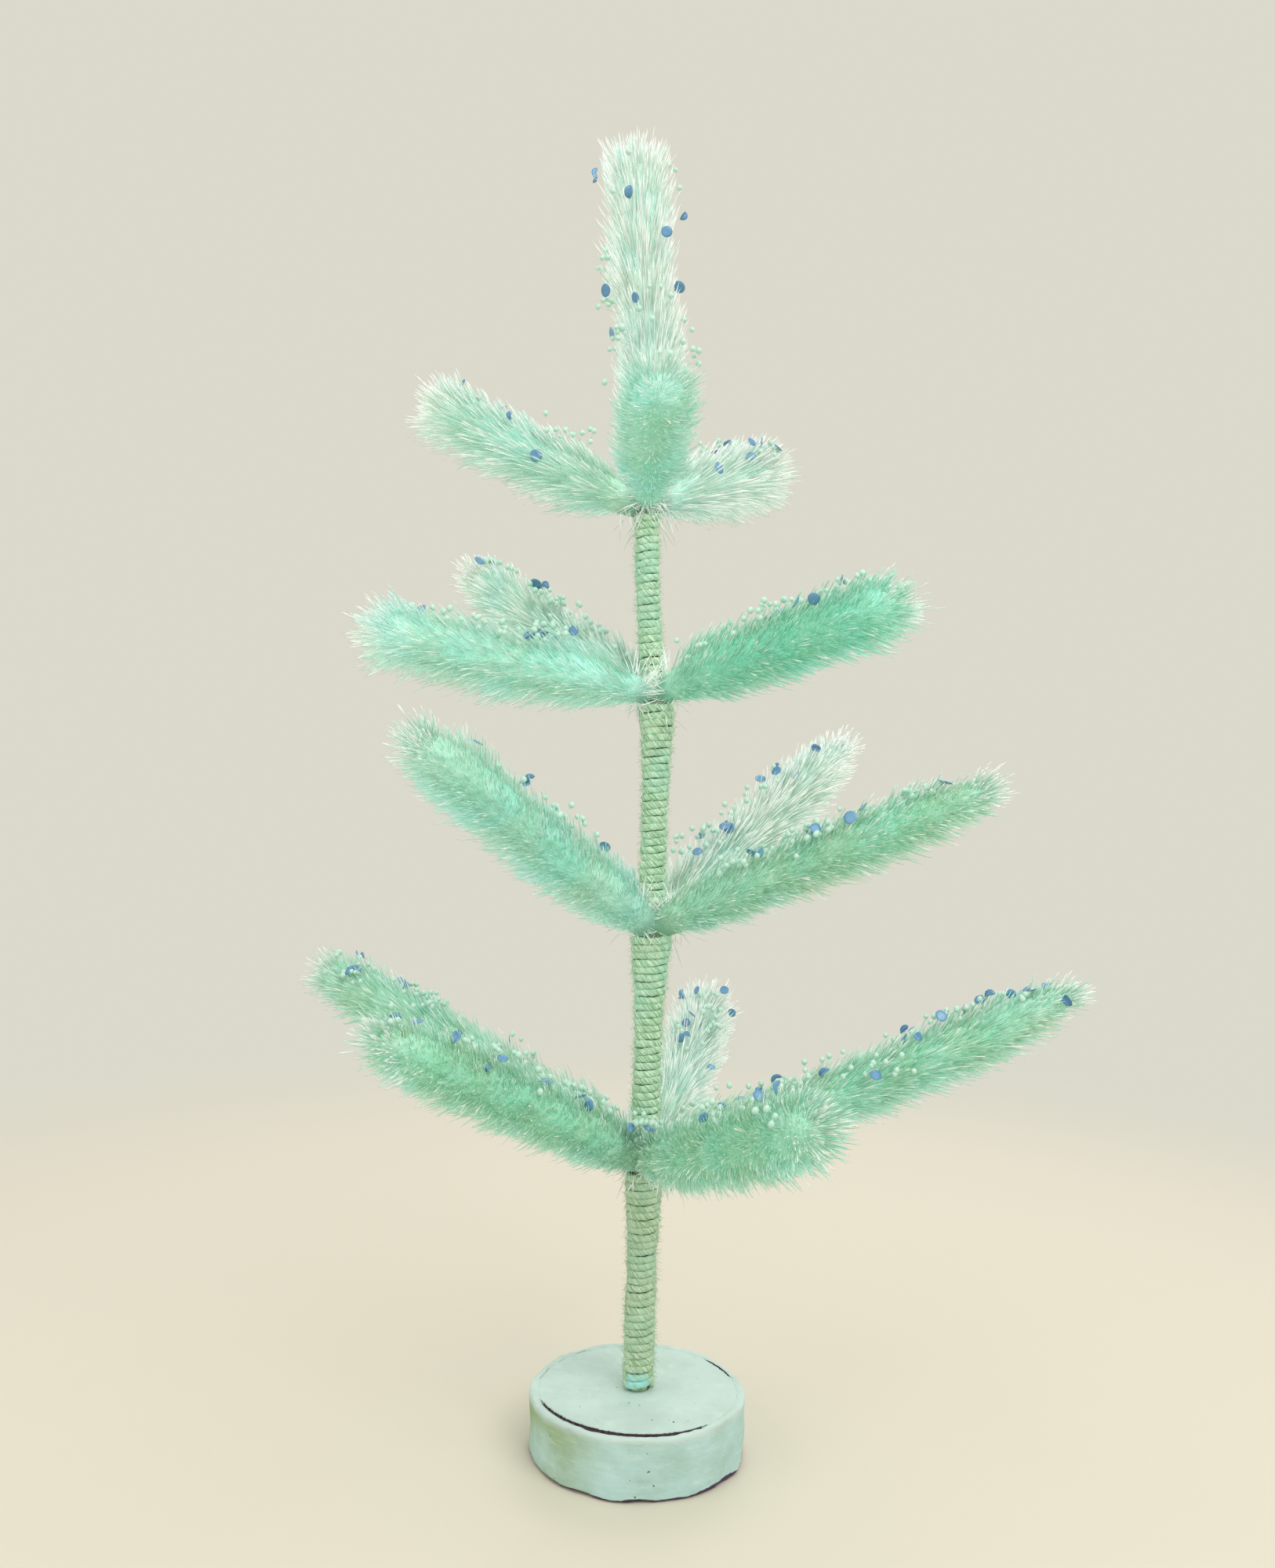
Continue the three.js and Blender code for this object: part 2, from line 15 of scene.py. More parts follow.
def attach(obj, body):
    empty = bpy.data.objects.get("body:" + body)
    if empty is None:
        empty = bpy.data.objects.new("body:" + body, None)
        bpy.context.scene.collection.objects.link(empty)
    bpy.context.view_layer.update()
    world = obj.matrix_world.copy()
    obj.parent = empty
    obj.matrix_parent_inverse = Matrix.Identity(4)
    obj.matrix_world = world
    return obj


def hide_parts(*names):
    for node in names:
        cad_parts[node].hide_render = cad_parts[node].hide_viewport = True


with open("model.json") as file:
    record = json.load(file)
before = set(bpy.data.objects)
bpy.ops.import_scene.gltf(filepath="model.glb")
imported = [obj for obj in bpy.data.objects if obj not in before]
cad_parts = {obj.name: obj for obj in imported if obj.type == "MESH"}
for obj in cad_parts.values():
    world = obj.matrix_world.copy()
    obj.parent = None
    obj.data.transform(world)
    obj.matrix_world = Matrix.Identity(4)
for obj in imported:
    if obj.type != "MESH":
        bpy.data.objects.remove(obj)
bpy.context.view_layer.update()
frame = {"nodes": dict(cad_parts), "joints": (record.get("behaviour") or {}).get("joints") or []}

MM = 0.001
TURN = 2 * math.pi
DEGREE = TURN / 360

# Camera, fitted to the photograph
CAMERA_PLACE = (0, -0.64438, 0.32267)
CAMERA_YAW = 0.7441 * DEGREE
CAMERA_PITCH = 0.8848 * DEGREE
CAMERA_ROLL = 1.6484 * DEGREE
CAMERA_LENS = 31.608
SENSOR_HEIGHT = 36.0

# Stage
BACKDROP = "dbd9cb"
FLOOR_COLOUR = "d3ccba"
FLOOR_RADII = (0.2, 1.0, 2.4)
FLOOR_DROP = -0.2 * MM
FLOOR_FADE = (0.42, 0.95)  # from the middle, where the floor starts and ends to fade into the backdrop
SKY_LIGHT = (1, 0.99, 0.97, 1)
SKY_STRENGTH = 0.82
LAMP_AIM = (0, 0, 0.3)
LAMPS = {  # place, size, power
    "key": ((0.75, -0.85, 1.6), 1.1, 16),
    "fill": ((-1.2, -0.9, 0.8), 1.2, 5),
    "back": ((0.2, 1.3, 1.3), 1.0, 6),
}

# Foot
FOOT_RADIUS = 50 * MM
FOOT_HEIGHT = 28.5 * MM
BARK_THICKNESS = 3.6 * MM
BARK_LIP = 0.5 * MM
BARK_RIM_DROP = 1.6 * MM  # from the bark's top to where its rounded rim starts
BARK_INSIDE = 4 * MM  # from the bark's top down to the middle ring of its inner face
SOCKET_FLOOR = 6.5 * MM
WOOD_ROUNDING = 0.9 * MM
LOG_LUMPS = ((2, 0.007, 0.1), (5, 0.003, 0.62))  # waves round the log, height share, phase share
BARK_SPLITS = ((-104, 60, 2.3 * MM), (32, 17, 0.75 * MM))  # middle and half angle, width
SPLIT_DROP = 0.7 * MM  # how far the bark's rim has sunk along the splits

# Trunk
TREE_HEIGHT = 610 * MM
TREE_RADIUS = 207 * MM
TIER_HEIGHTS = tuple(TREE_HEIGHT * share for share in (0.2215, 0.4035, 0.579, 0.726))
TRUNK_TOP = TIER_HEIGHTS[3]
DOWEL_FOOT_RADIUS = 4.6 * MM
DOWEL_TOP_RADIUS = 2.7 * MM
TRUNK_LEAN = 7.4 * MM
LEAN_START = TIER_HEIGHTS[2] - 8 * MM
FIT_GAP = 0.3 * MM
WIRE_RADIUS = 0.7 * MM

# Cord
CORD_RADIUS = 1.3 * MM
CORD_HALF_HEIGHT = 1.82 * MM
CORD_PITCH = 3.5 * MM
CORD_LAY = 7.5 * MM
CORD_STEPS_A_TURN = 44
CORD_SIDES = 14
CORD_SWELLS = (1.9 * MM, 3.1 * MM, 2.2 * MM, 0.3 * MM)
SWELL_LENGTH = 46 * MM
TIER_GAP_BELOW = 2.0 * MM
TIER_GAP_ABOVE = 3.4 * MM
CROSSING_TURN = 34 * DEGREE  # half the turn in which the cord climbs past a tier
CORD_HAIRS = 6500

# Brushes
FLARE_LENGTH = 36 * MM
TUFT_LENGTH = 15 * MM
CLOSING_LENGTH = 9 * MM
OVERHANG = 3 * MM
FAN_OVERHANG = -2 * MM  # at a brush that fans out
LONGEST_STRAND = 36 * MM
STRANDS_A_MM = 76
STRAND_RADIUS = 0.11 * MM
GUARD_RADIUS = 0.22 * MM
GUARD_REACH = 7.5 * MM  # the most that a long strand passes the brush's outline
WIDEST_SHARE = 0.84
BRANCH_SWEEP = 52 * DEGREE
LEADER_SWEEP = 64 * DEGREE
CLUMP_SIZE = 4
CORE_ROOT_SHARE = 0.88
CORE_END = 8 * MM  # from the core's end to the wire's
CORE_ROUNDING = 14 * MM
CORE_SIDES = 40
CORE_STEP = 1.4 * MM
ROOTED_SHARE = 0.3
ROOT_LIFT_LENGTH = 75 * MM
ROOT_STRANDS = 230
HUE_COLUMNS = 8  # cells of the strands' colour map, one shade to a cell: columns by the place on the wire
HUE_ROWS = 56  # rows by the patch of the dye
PALE_ROWS = 14  # the uppermost rows, which are pale from wire to tip
PLAIN_ROWS = HUE_ROWS - PALE_ROWS

# Trimmings: how far they scatter about their side of the brush, in radians, and which side that is
BRANCH_TRIM = (0.55, TURN / 4)
LEADER_TRIM = (2.2, 0.0)
SEQUIN_WALL = 0.14 * MM

# Branches: reach as a share of the tree's radius, rise as a share of the reach, sag, the brush's
# radius at the root and where it is full in mm, the share of the length where it starts to narrow,
# its radius share at the tip, the dye, the berries, the sequins, the share of the branch from which
# the trimmings sit, and how much more the root's fibres stand up than hang down
Look = namedtuple("Look", "reach rise sag root radius narrow_from tip dye berries sequins trim_from lift",
                  defaults=[0.42])
BRANCHES = {
    "1_right": Look(1, 0.419, 0.2, 7, 15.5, 0.76, 0.5, "mint", 110, 24, 0.08),
    "1_front_right": Look(0.89, 0.355, 0.1, 8.5, 16, 0.92, 0.8, "mint", 44, 6, 0.04),
    "1_back": Look(0.745, 0.337, 0.15, 6, 18, 0.92, 0.9, "frost", 34, 10, 0.4),
    "1_back_left": Look(1, 0.348, -0.06, 6, 16.5, 0.88, 0.7, "mint", 60, 8, 0.3),
    "1_front_left": Look(0.87, 0.478, -0.06, 7.5, 14.5, 0.8, 0.6, "mint", 76, 15, 0.06),
    "2_front_left": Look(0.744, 0.561, 0.05, 8, 16.5, 0.8, 0.62, "spring", 26, 6, 0.2, 0.25),
    "2_back_right": Look(0.754, 0.595, 0.08, 7, 17.5, 0.72, 0.38, "frost", 34, 12, 0.12, 0.3),
    "2_front_right": Look(0.797, 0.433, -0.06, 8, 14, 0.7, 0.5, "mint", 60, 9, 0.2, 0.25),
    "3_front_left": Look(0.672, 0.17, 0.1, 6, 17, 0.92, 0.8, "aqua", 44, 8, 0.15),
    "3_back_left": Look(0.62, 0.525, 0.08, 6, 15, 0.85, 0.65, "pale", 64, 8, 0.1),
    "3_front_right": Look(0.638, 0.295, -0.2, 6, 16.8, 0.88, 0.65, "sea", 44, 7, 0.12),
    "4_left": Look(0.512, 0.44, 0.25, 7, 16.8, 0.95, 0.9, "pale", 20, 7, 0.25, 0),
    "4_back_right": Look(0.465, 0.34, 0.1, 6.5, 19, 0.92, 0.9, "frost", 26, 10, 0.2),
    "4_front": Look(0.507, 0.314, -0.1, 6.5, 17.5, 0.9, 0.8, "aqua", 8, 1, 0.3),
}
LEADER = Look(1, 0, 0, 9, 18, 0.6, 1.14, "snow", 44, 13, 0.4)
LEADER_SWAY = 12.2 * MM
LEADER_SWAYS = ((0, 0), (0.05, 0.38), (0.35, 0.55), (0.62, 0.78), (1, 1))  # share of sway, of height

# Near the wire, in the body and at the tips, the share of strands that are paler, and how much paler
# the strands are at the root and at the branch's end
DYES = {
    "sea": ("75d3b1", "94dfc6", "cef4e4", 0.35, 0.2, 0.3),
    "mint": ("88d2aa", "a6dec2", "daf2e6", 0.35, 0.14, 0.16),
    "spring": ("9ae0c6", "b4e7d8", "dcf4ea", 0.35, 0.16, 0.3),
    "aqua": ("9ce4ce", "b6e8d9", "e4f8ef", 0.4, 0.05, 0.4),
    "pale": ("a0dcc0", "bae4d4", "e8f8ee", 0.45, -0.3, 0.5),
    "frost": ("a8dac8", "bce4d4", "e8f8f0", 0.6, 0, 0.5),
    "snow": ("bce4d4", "cdecdf", "eafaf3", 0.6, 0.1, 0.2),
}
HAIR_DYE = ("a4cba0", "bcdab4", "e2efd8", 0.6, 0, 0)
# How full a brush is: its share of STRANDS_A_MM, its core's share of its radius, its share of long
# strands, and the share of those that are bleached
FULLNESS = {
    "snow": (0.66, 0.46, 0.34, 0.7),
    "frost": (0.66, 0.46, 0.32, 0.72),
    "pale": (0.85, 0.52, 0.19, 0.6),
}
PLAIN_FULLNESS = (1, 0.6, 0.15, 0.16)
COOL_TINT = (0.92, 1.04, 1.07, 1)  # the dye took unevenly: bluer in some patches and yellower in others
WARM_TINT = (1.07, 0.97, 0.9, 1)
# Roughness, metal, scale and detail of the noise, and the two tones that it mixes
PLAIN_FINISHES = {
    "berry": (0.45, 0, 140, 1, "aad8c4", "cfe8da"),
    "sequin": (0.3, 0, 90, 1, "457fab", "7ba9c7"),
    "steel_wire": (0.4, 0.9, 400, 2, "7d857c", "a4aca2"),
    "dowel_wood": (0.8, 0, 200, 3, "7fa57e", "a5bf98"),
}


# Directions, places and noise

def unit(vectors):
    """Each vector divided by its length."""
    return vectors / np.linalg.norm(vectors, axis=-1, keepdims=True)


def turned(first, second, angle):
    """The direction at an angle from the first of two directions towards the second."""
    return first * np.cos(angle)[..., None] + second * np.sin(angle)[..., None]


def polar(radius, angle, height=0.0):
    """Points at a distance from the Z axis, at an angle about it and at a height."""
    return np.stack(np.broadcast_arrays(radius * np.cos(angle), radius * np.sin(angle), height), -1)


def ring_angles(count):
    """A count of angles, evenly round a circle."""
    return np.arange(count) / count * TURN


def unevenness(places, size, seed, waves=14):
    """Smooth noise of about -1 to 1: sine waves in random directions, about a size long, added up."""
    rng = np.random.default_rng(seed)
    directions = unit(rng.normal(size=(waves, places.shape[-1])))
    directions *= TURN / size * rng.uniform(0.55, 1.7, (waves, 1))
    phases = rng.uniform(0, TURN, waves)
    return np.sin(places @ directions.T + phases).sum(-1) / math.sqrt(waves)


def smoothstep(values, low, high):
    """0 below low, 1 above high, and 3t2 - 2t3 between them."""
    t = np.clip((values - low) / (high - low), 0, 1)
    return t * t * (3 - 2 * t)


# Meshes

def new_object(name, data):
    """A new object in the scene."""
    made = bpy.data.objects.new(name, data)
    bpy.context.scene.collection.objects.link(made)
    return made


def new_piece(name, materials, points, faces, uv=None, face_material=None):
    """A smooth mesh object from arrays: points, triangles, and uv by point."""
    mesh = bpy.data.meshes.new(name)
    mesh.from_pydata(points.tolist(), [], faces.tolist(), shade_flat=False)
    for material in materials:
        mesh.materials.append(material)
    if face_material is not None:
        mesh.polygons.foreach_set("material_index", face_material.astype(np.int32))
    if uv is not None:
        layer = mesh.uv_layers.new(name="OFBake")
        layer.data.foreach_set("uv", uv[faces.ravel()].astype(np.float32).ravel())
    mesh.update(calc_edges=True)
    mesh.validate()
    return new_object(name, mesh)


def grid_faces(rows, columns, wrap_rows=False):
    """Two triangles to each cell between neighbouring rings of points, each ring closed on itself."""
    row = np.arange(rows if wrap_rows else rows - 1)[:, None]
    column = np.arange(columns)
    after = (column + 1) % columns
    low = row * columns
    high = (row + 1) % rows * columns
    quads = np.stack([low + column, low + after, high + after, high + column], -1).reshape(-1, 4)
    return np.concatenate([quads[:, [0, 1, 2]], quads[:, [0, 2, 3]]])


def fan_faces(middle, first, columns):
    """Triangles from a middle point to a ring of points, which starts at the point first."""
    column = np.arange(columns)
    return np.stack([np.full(columns, middle), first + column, first + (column + 1) % columns], -1)


def closed_skin(rings):
    """A skin over rings of points, which run anticlockwise about the way that they follow each
    other, with a fan round the middle point of the ring at each end."""
    rows, columns, _ = rings.shape
    points = np.vstack([rings.reshape(-1, 3), rings[0].mean(0), rings[-1].mean(0)])
    foot = fan_faces(rows * columns, 0, columns)[:, [0, 2, 1]]
    top = fan_faces(rows * columns + 1, (rows - 1) * columns, columns)
    return points, np.concatenate([grid_faces(rows, columns), foot, top])


def join(meshes):
    """Several meshes as one: their points, their faces and, where they have them, map points."""
    starts = np.cumsum([0] + [len(mesh[0]) for mesh in meshes[:-1]])
    joined = [np.concatenate(part) for part in zip(*meshes)]
    joined[1] = np.concatenate([mesh[1] + start for mesh, start in zip(meshes, starts)])
    return joined


# Middle lines

class Line:
    """A middle line as closely spaced points, read by the distance along it."""

    def __init__(self, points, side):
        steps = np.linalg.norm(np.diff(points, axis=0), axis=1)
        self.points = points
        self.distances = np.concatenate([[0], np.cumsum(steps)])
        self.length = self.distances[-1]
        self.tangents = unit(np.gradient(points, self.distances, axis=0))
        self.side = np.array(side, float)

    def at(self, distance):
        """Place, direction along the line, and the two directions square to it: across and over."""
        place = np.stack([np.interp(distance, self.distances, c) for c in self.points.T], -1)
        along = unit(np.stack([np.interp(distance, self.distances, c) for c in self.tangents.T], -1))
        across = unit(self.side - along * (along @ self.side)[..., None])
        return place, along, across, np.cross(across, along)


def bezier(root, bend, tip, steps=240):
    """Quadratic curve: (1 - t)2 root + 2t(1 - t) bend + t2 tip."""
    t = np.linspace(0, 1, steps)[:, None]
    return (1 - t) ** 2 * root + 2 * t * (1 - t) * bend + t ** 2 * tip


def through(knots, steps=60):
    """Catmull-Rom curve: a cubic between each two knots, its slope at a knot half the way between
    the knots before and after it."""
    before = np.vstack([2 * knots[0] - knots[1], knots, 2 * knots[-1] - knots[-2]])
    t = np.linspace(0, 1, steps, endpoint=False)[:, None]
    parts = []
    for a, b, c, d in zip(before, before[1:], before[2:], before[3:]):
        parts.append(0.5 * (2 * b + (c - a) * t + (2 * a - 5 * b + 4 * c - d) * t ** 2
                            + (3 * b - a - 3 * c + d) * t ** 3))
    return np.vstack(parts + [knots[-1:]])


def dowel_radius(height):
    """The dowel tapers evenly from the foot's top to the trunk's top."""
    share = np.clip((height - FOOT_HEIGHT) / (TRUNK_TOP - FOOT_HEIGHT), 0, 1)
    return DOWEL_FOOT_RADIUS + (DOWEL_TOP_RADIUS - DOWEL_FOOT_RADIUS) * share


def trunk_x(height):
    """The trunk is upright to the lean's start, then leans left along a parabola."""
    share = np.clip((height - LEAN_START) / (TRUNK_TOP - LEAN_START), 0, 1)
    return -TRUNK_LEAN * (1 - (1 - share) ** 2)


def branch_line(name):
    """From the hinge, the branch goes out to its reach and up by its rise, and sags at first."""
    look = BRANCHES[name]
    joint = next(j for j in frame["joints"] if j["name"] == f"bend_{name}")
    root = np.array(joint["pos_m"], float)
    out = np.array([-joint["axis"][1], joint["axis"][0], 0.0])
    reach = TREE_RADIUS * look.reach
    rise = reach * look.rise
    tail = dowel_radius(root[2]) + FIT_GAP + WIRE_RADIUS
    tip = root + out * (reach - tail) + [0, 0, rise]
    bend = (root + tip) / 2 - [0, 0, rise * look.sag / 2]
    return Line(bezier(root, bend, tip), np.cross(out, [0, 0, 1]))


def leader_line():
    """From the trunk's top the leader stands upright at first and then sways to the left."""
    height = TREE_HEIGHT - TRUNK_TOP
    knots = [(-TRUNK_LEAN - LEADER_SWAY * sway, 0, TRUNK_TOP + height * share)
             for sway, share in LEADER_SWAYS]
    return Line(through(np.array(knots)), (0, -1, 0))


def brush_radius(distance, length, look):
    """The brush's outline along its wire: it flares from the root, stays full, narrows to the tip,
    both by a smoothstep, and closes past the tip bluntly: radius share and way, each to the power of
    3, add up to 1, and to the power of 8 where the tip fans out."""
    root, full = look.root * MM, look.radius * MM
    flared = root + (full - root) * smoothstep(distance, 0, FLARE_LENGTH)
    narrowed = 1 - (1 - look.tip) * smoothstep(distance, look.narrow_from * length, length)
    overhang, power = (OVERHANG, 3) if look.tip < 1 else (FAN_OVERHANG, 8)
    past = np.clip((distance - length + CLOSING_LENGTH) / (CLOSING_LENGTH + overhang), 0, 1)
    return flared * narrowed * (1 - past ** power) ** (1 / power)


# Nodes

def linear(hex_colour):
    """A screen colour such as 96d7be as the linear values that a shader takes."""
    values = [int(hex_colour[i:i + 2], 16) / 255 for i in (0, 2, 4)]
    return (*[v / 12.92 if v <= 0.04045 else ((v + 0.055) / 1.055) ** 2.4 for v in values], 1)


def add_node(tree, kind, inputs, **settings):
    """A new node with its settings. Each input, by its number or name, is a socket to link, a value
    to set, a screen colour such as 96d7be to set as linear values, or None to leave."""
    node = tree.nodes.new(f"ShaderNode{kind}")
    for name, value in settings.items():
        setattr(node, name, value)
    for key, value in inputs.items():
        if isinstance(value, bpy.types.NodeSocket):
            tree.links.new(value, node.inputs[key])
        elif value is not None:
            node.inputs[key].default_value = linear(value) if isinstance(value, str) else value
    return node


def calc(tree, operation, a, b=None, clamp=False):
    """The result of an operation of arithmetic on a and b."""
    return add_node(tree, "Math", {0: a, 1: b}, operation=operation, use_clamp=clamp).outputs[0]


def times(tree, a, b):
    """The product of two values."""
    return calc(tree, "MULTIPLY", a, b)


def plus(tree, a, b, clamp=False):
    """The sum of two values."""
    return calc(tree, "ADD", a, b, clamp)


def mix(tree, factor, a, b):
    """The colour between a and b by a factor."""
    return add_node(tree, "Mix", {0: factor, 6: a, 7: b}, data_type="RGBA").outputs[2]


def tinted(tree, share, colour):
    """A colour times a tint that goes from the cool one to the warm one by share."""
    tint = mix(tree, share, COOL_TINT, WARM_TINT)
    product = add_node(tree, "Mix", {0: 1, 6: colour, 7: tint}, data_type="RGBA", blend_type="MULTIPLY")
    return product.outputs[2]


def span(tree, value, low, high, to_low=0.0, to_high=1.0):
    """A value from low to high, as a smoothstep from to_low to to_high."""
    inputs = {"Value": value, "From Min": low, "From Max": high, "To Min": to_low, "To Max": to_high}
    return add_node(tree, "MapRange", inputs, interpolation_type="SMOOTHSTEP").outputs[0]


def noise(tree, vector, scale, detail=2.0, roughness=0.5):
    """The value of a noise texture on a vector."""
    inputs = {"Vector": vector, "Scale": scale, "Detail": detail, "Roughness": roughness}
    return add_node(tree, "TexNoise", inputs).outputs["Fac"]


def scaled_noise(tree, vector, scale, detail, roughness):
    """A noise texture whose scale differs from one axis to the next."""
    stretch = add_node(tree, "Mapping", {"Vector": vector, "Scale": scale})
    return noise(tree, stretch.outputs[0], 1.0, detail, roughness)


def bump(tree, height, strength, distance):
    """The normal of a surface with a fine relief."""
    inputs = {"Height": height, "Strength": strength, "Distance": distance}
    return add_node(tree, "Bump", inputs).outputs[0]


def object_place(tree):
    """The place in the object's own coordinates."""
    return add_node(tree, "TexCoord", {}).outputs["Object"]


def parts_of(tree, vector):
    """The three numbers of a vector."""
    return add_node(tree, "SeparateXYZ", {0: vector}).outputs


def map_parts(tree):
    """The two numbers of the piece's own map."""
    return parts_of(tree, add_node(tree, "UVMap", {}, uv_map="OFBake").outputs[0])


def new_material(name, roughness, metal=0):
    """A Principled material and its node tree."""
    material = bpy.data.materials.new(name)
    material.use_nodes = True
    shader = material.node_tree.nodes["Principled BSDF"]
    shader.inputs["Roughness"].default_value = roughness
    shader.inputs["Metallic"].default_value = metal
    return material, material.node_tree


def coat(material, colour, normal=None):
    """Gives the material's shader its colour and, where there is one, its normal."""
    tree = material.node_tree
    shader = tree.nodes["Principled BSDF"]
    tree.links.new(colour, shader.inputs["Base Color"])
    if normal:
        tree.links.new(normal, shader.inputs["Normal"])
    return material


# Materials of the brushes

def dyed_strand_group():
    """Colour of a dyed fibre by its map, which is cells in columns and rows. Through a cell, u runs
    from the wire to the tip; its column tells the strand's place on the wire, and column and row
    give it a shade of its own. Out comes the deep dye near the wire, the body dye, and a pale tip,
    paler on some strands, at the root and near the brush's end, tinted by the row; the uppermost
    rows are bleached all along, and a few strands are dry."""
    group = bpy.data.node_groups.new("dyed_strand", "ShaderNodeTree")
    for label in ("Deep", "Body", "Tip", "Dry", "Bleached"):
        group.interface.new_socket(label, in_out="INPUT", socket_type="NodeSocketColor")
    for label in ("Pale share", "Pale root", "Pale end"):
        group.interface.new_socket(label, in_out="INPUT", socket_type="NodeSocketFloat")
    group.interface.new_socket("Color", in_out="OUTPUT", socket_type="NodeSocketColor")
    given = group.nodes.new("NodeGroupInput").outputs
    result = group.nodes.new("NodeGroupOutput").inputs
    u, v, _ = map_parts(group)
    across = times(group, u, HUE_COLUMNS)
    column = calc(group, "FLOOR", across)
    along = calc(group, "FRACT", across)
    row = calc(group, "FLOOR", times(group, v, HUE_ROWS))

    def chance(offset):
        cell = add_node(group, "CombineXYZ", {0: plus(group, column, offset), 1: row})
        white = add_node(group, "TexWhiteNoise", {"Vector": cell.outputs[0]}, noise_dimensions="2D")
        return white.outputs["Value"]

    body = mix(group, span(group, along, 0.1, 0.55), given["Deep"], given["Body"])
    paler = times(group, span(group, chance(0.5), 0.55, 1.0), given["Pale share"])
    ended = times(group, span(group, column, HUE_COLUMNS * 0.55, HUE_COLUMNS - 1), given["Pale end"])
    rooted = times(group, span(group, column, 0, HUE_COLUMNS * 0.45, 1.0, 0.0), given["Pale root"])
    tip_share = plus(group, span(group, along, 0.6, 1.05, 0.0, 0.6), paler)
    tip_share = plus(group, tip_share, plus(group, ended, rooted), clamp=True)
    coloured = mix(group, tip_share, body, given["Tip"])
    coloured = tinted(group, calc(group, "DIVIDE", row, PLAIN_ROWS, clamp=True), coloured)
    bleached = times(group, calc(group, "GREATER_THAN", row, PLAIN_ROWS - 0.5), 0.9)
    coloured = mix(group, bleached, coloured, given["Bleached"])
    dry = calc(group, "GREATER_THAN", chance(40.5), 0.994)
    group.links.new(mix(group, dry, coloured, given["Dry"]), result["Color"])
    return group


def fibre_material(name, group, deep, body, tip, pale_share, pale_root, pale_end):
    """One branch's dyed sisal."""
    material, tree = new_material(name, 0.42)
    inputs = {"Deep": deep, "Body": body, "Tip": tip, "Dry": "b9b487", "Bleached": "f8fdf8",
              "Pale share": pale_share, "Pale root": pale_root, "Pale end": pale_end}
    return coat(material, add_node(tree, "Group", inputs, node_tree=group).outputs[0])


def core_material(name, deep, body, tip, pale_root):
    """The dense inner fibres of a branch: its dye in soft tinted patches with fine streaks, paler at
    both ends, and darkened near the trunk as painted shade, since the fibres there cast no shadow."""
    material, tree = new_material(name, 0.7)
    place = object_place(tree)
    patch = span(tree, noise(tree, place, 60, 3), 0.35, 0.65, 0.15, 0.7)
    patch = mix(tree, patch, deep, body)
    patch = tinted(tree, span(tree, noise(tree, place, 34, 2), 0.36, 0.64), patch)
    streak = span(tree, noise(tree, place, 900, 3, 0.6), 0.42, 0.66, 0.0, 0.4)
    along = map_parts(tree)[0]
    ended = span(tree, along, 0.78, 1.02, 0.0, 0.3)
    rooted = span(tree, along, 0.0, 0.5, max(1.5 * pale_root, 0.0), 0.0)
    paler = plus(tree, streak, plus(tree, ended, rooted), clamp=True)
    # painted shade: near the trunk the core is mixed towards a darkened deep dye, in place of the crevice's
    # shadow
    near_trunk_shade = span(tree, along, 0.02, 0.1, 0.8, 0.0)
    shade = (*[value * 0.55 for value in linear(deep)[:3]], 1)
    tone = mix(tree, near_trunk_shade, mix(tree, paler, patch, tip), shade)
    return coat(material, tone, bump(tree, noise(tree, place, 1100, 3, 0.6), 0.8, 0.5 * MM))


# Sisal fibres

def strand_arrays(start, middle, tip, radius, share, rng, pale=False, patch=None):
    """Each strand is two three-sided pyramids, base to base at its widest place: a start point, a
    ring of three points round the middle, square to the strand, and a tip point. Its share, 0 to 1,
    is its place along the wire, which picks the column of its cell on the colour map; its patch, 0
    to 1 or else random, picks the row, and pale strands have the uppermost rows."""
    count = len(start)
    along = unit(tip - start)
    helper = unit(rng.normal(size=(count, 3)))
    first = unit(np.cross(along, helper))
    second = np.cross(along, first)
    ring = turned(first[:, None], second[:, None], ring_angles(3)) * radius[:, None, None]
    points = np.concatenate([start[:, None], middle[:, None] + ring, tip[:, None]], 1)
    corner = np.array([[2, 1, 0], [3, 2, 0], [1, 3, 0], [1, 2, 4], [2, 3, 4], [3, 1, 4]])
    faces = (np.arange(count) * 5)[:, None, None] + corner[None]
    column = np.clip(np.floor(share * HUE_COLUMNS + rng.normal(0, 0.6, count)), 0, HUE_COLUMNS - 1)
    patch = rng.random(count) if patch is None else patch + rng.normal(0, 0.1, count)
    plain_row = np.floor(np.clip(patch, 0, 0.999) * PLAIN_ROWS)
    row = np.where(pale, PLAIN_ROWS + rng.integers(0, PALE_ROWS, count), plain_row)
    u = (column[:, None] + np.array([0.03, WIDEST_SHARE, WIDEST_SHARE, WIDEST_SHARE, 0.97])) / HUE_COLUMNS
    v = (row[:, None] + np.array([0.5, 0.25, 0.5, 0.75, 0.5])) / HUE_ROWS
    return points.reshape(-1, 3), faces.reshape(-1, 3), np.stack([u, v], -1).reshape(-1, 2)


def radial_way(line, station, turn, lean):
    """At a place on the wire: the place, the direction away from it at a turn, and the direction
    that leans from there towards the tip."""
    place, along, across, over = line.at(station)
    radial = turned(across, over, turn)
    return place, radial, turned(radial, along, lean)


def root_lift(distance, turn, look):
    """How far fibres reach beside the plain outline: more above and less below, fading from the root
    along the branch."""
    return 1 + look.lift * np.sin(turn) * (1 - smoothstep(distance, 0, ROOT_LIFT_LENGTH))


def strand_lengths(station, turn, lean, length, look):
    """The longest of some tried lengths at which a strand's tip is still inside the outline."""
    tries = np.linspace(2 * MM, LONGEST_STRAND, 40)
    outward = tries * np.cos(lean)[:, None]
    forward = station[:, None] + tries * np.sin(lean)[:, None]
    outside = outward > brush_radius(forward, length, look) * root_lift(forward, turn[:, None], look)
    outside[:, -1] = True
    return tries[np.argmax(outside, axis=1)]


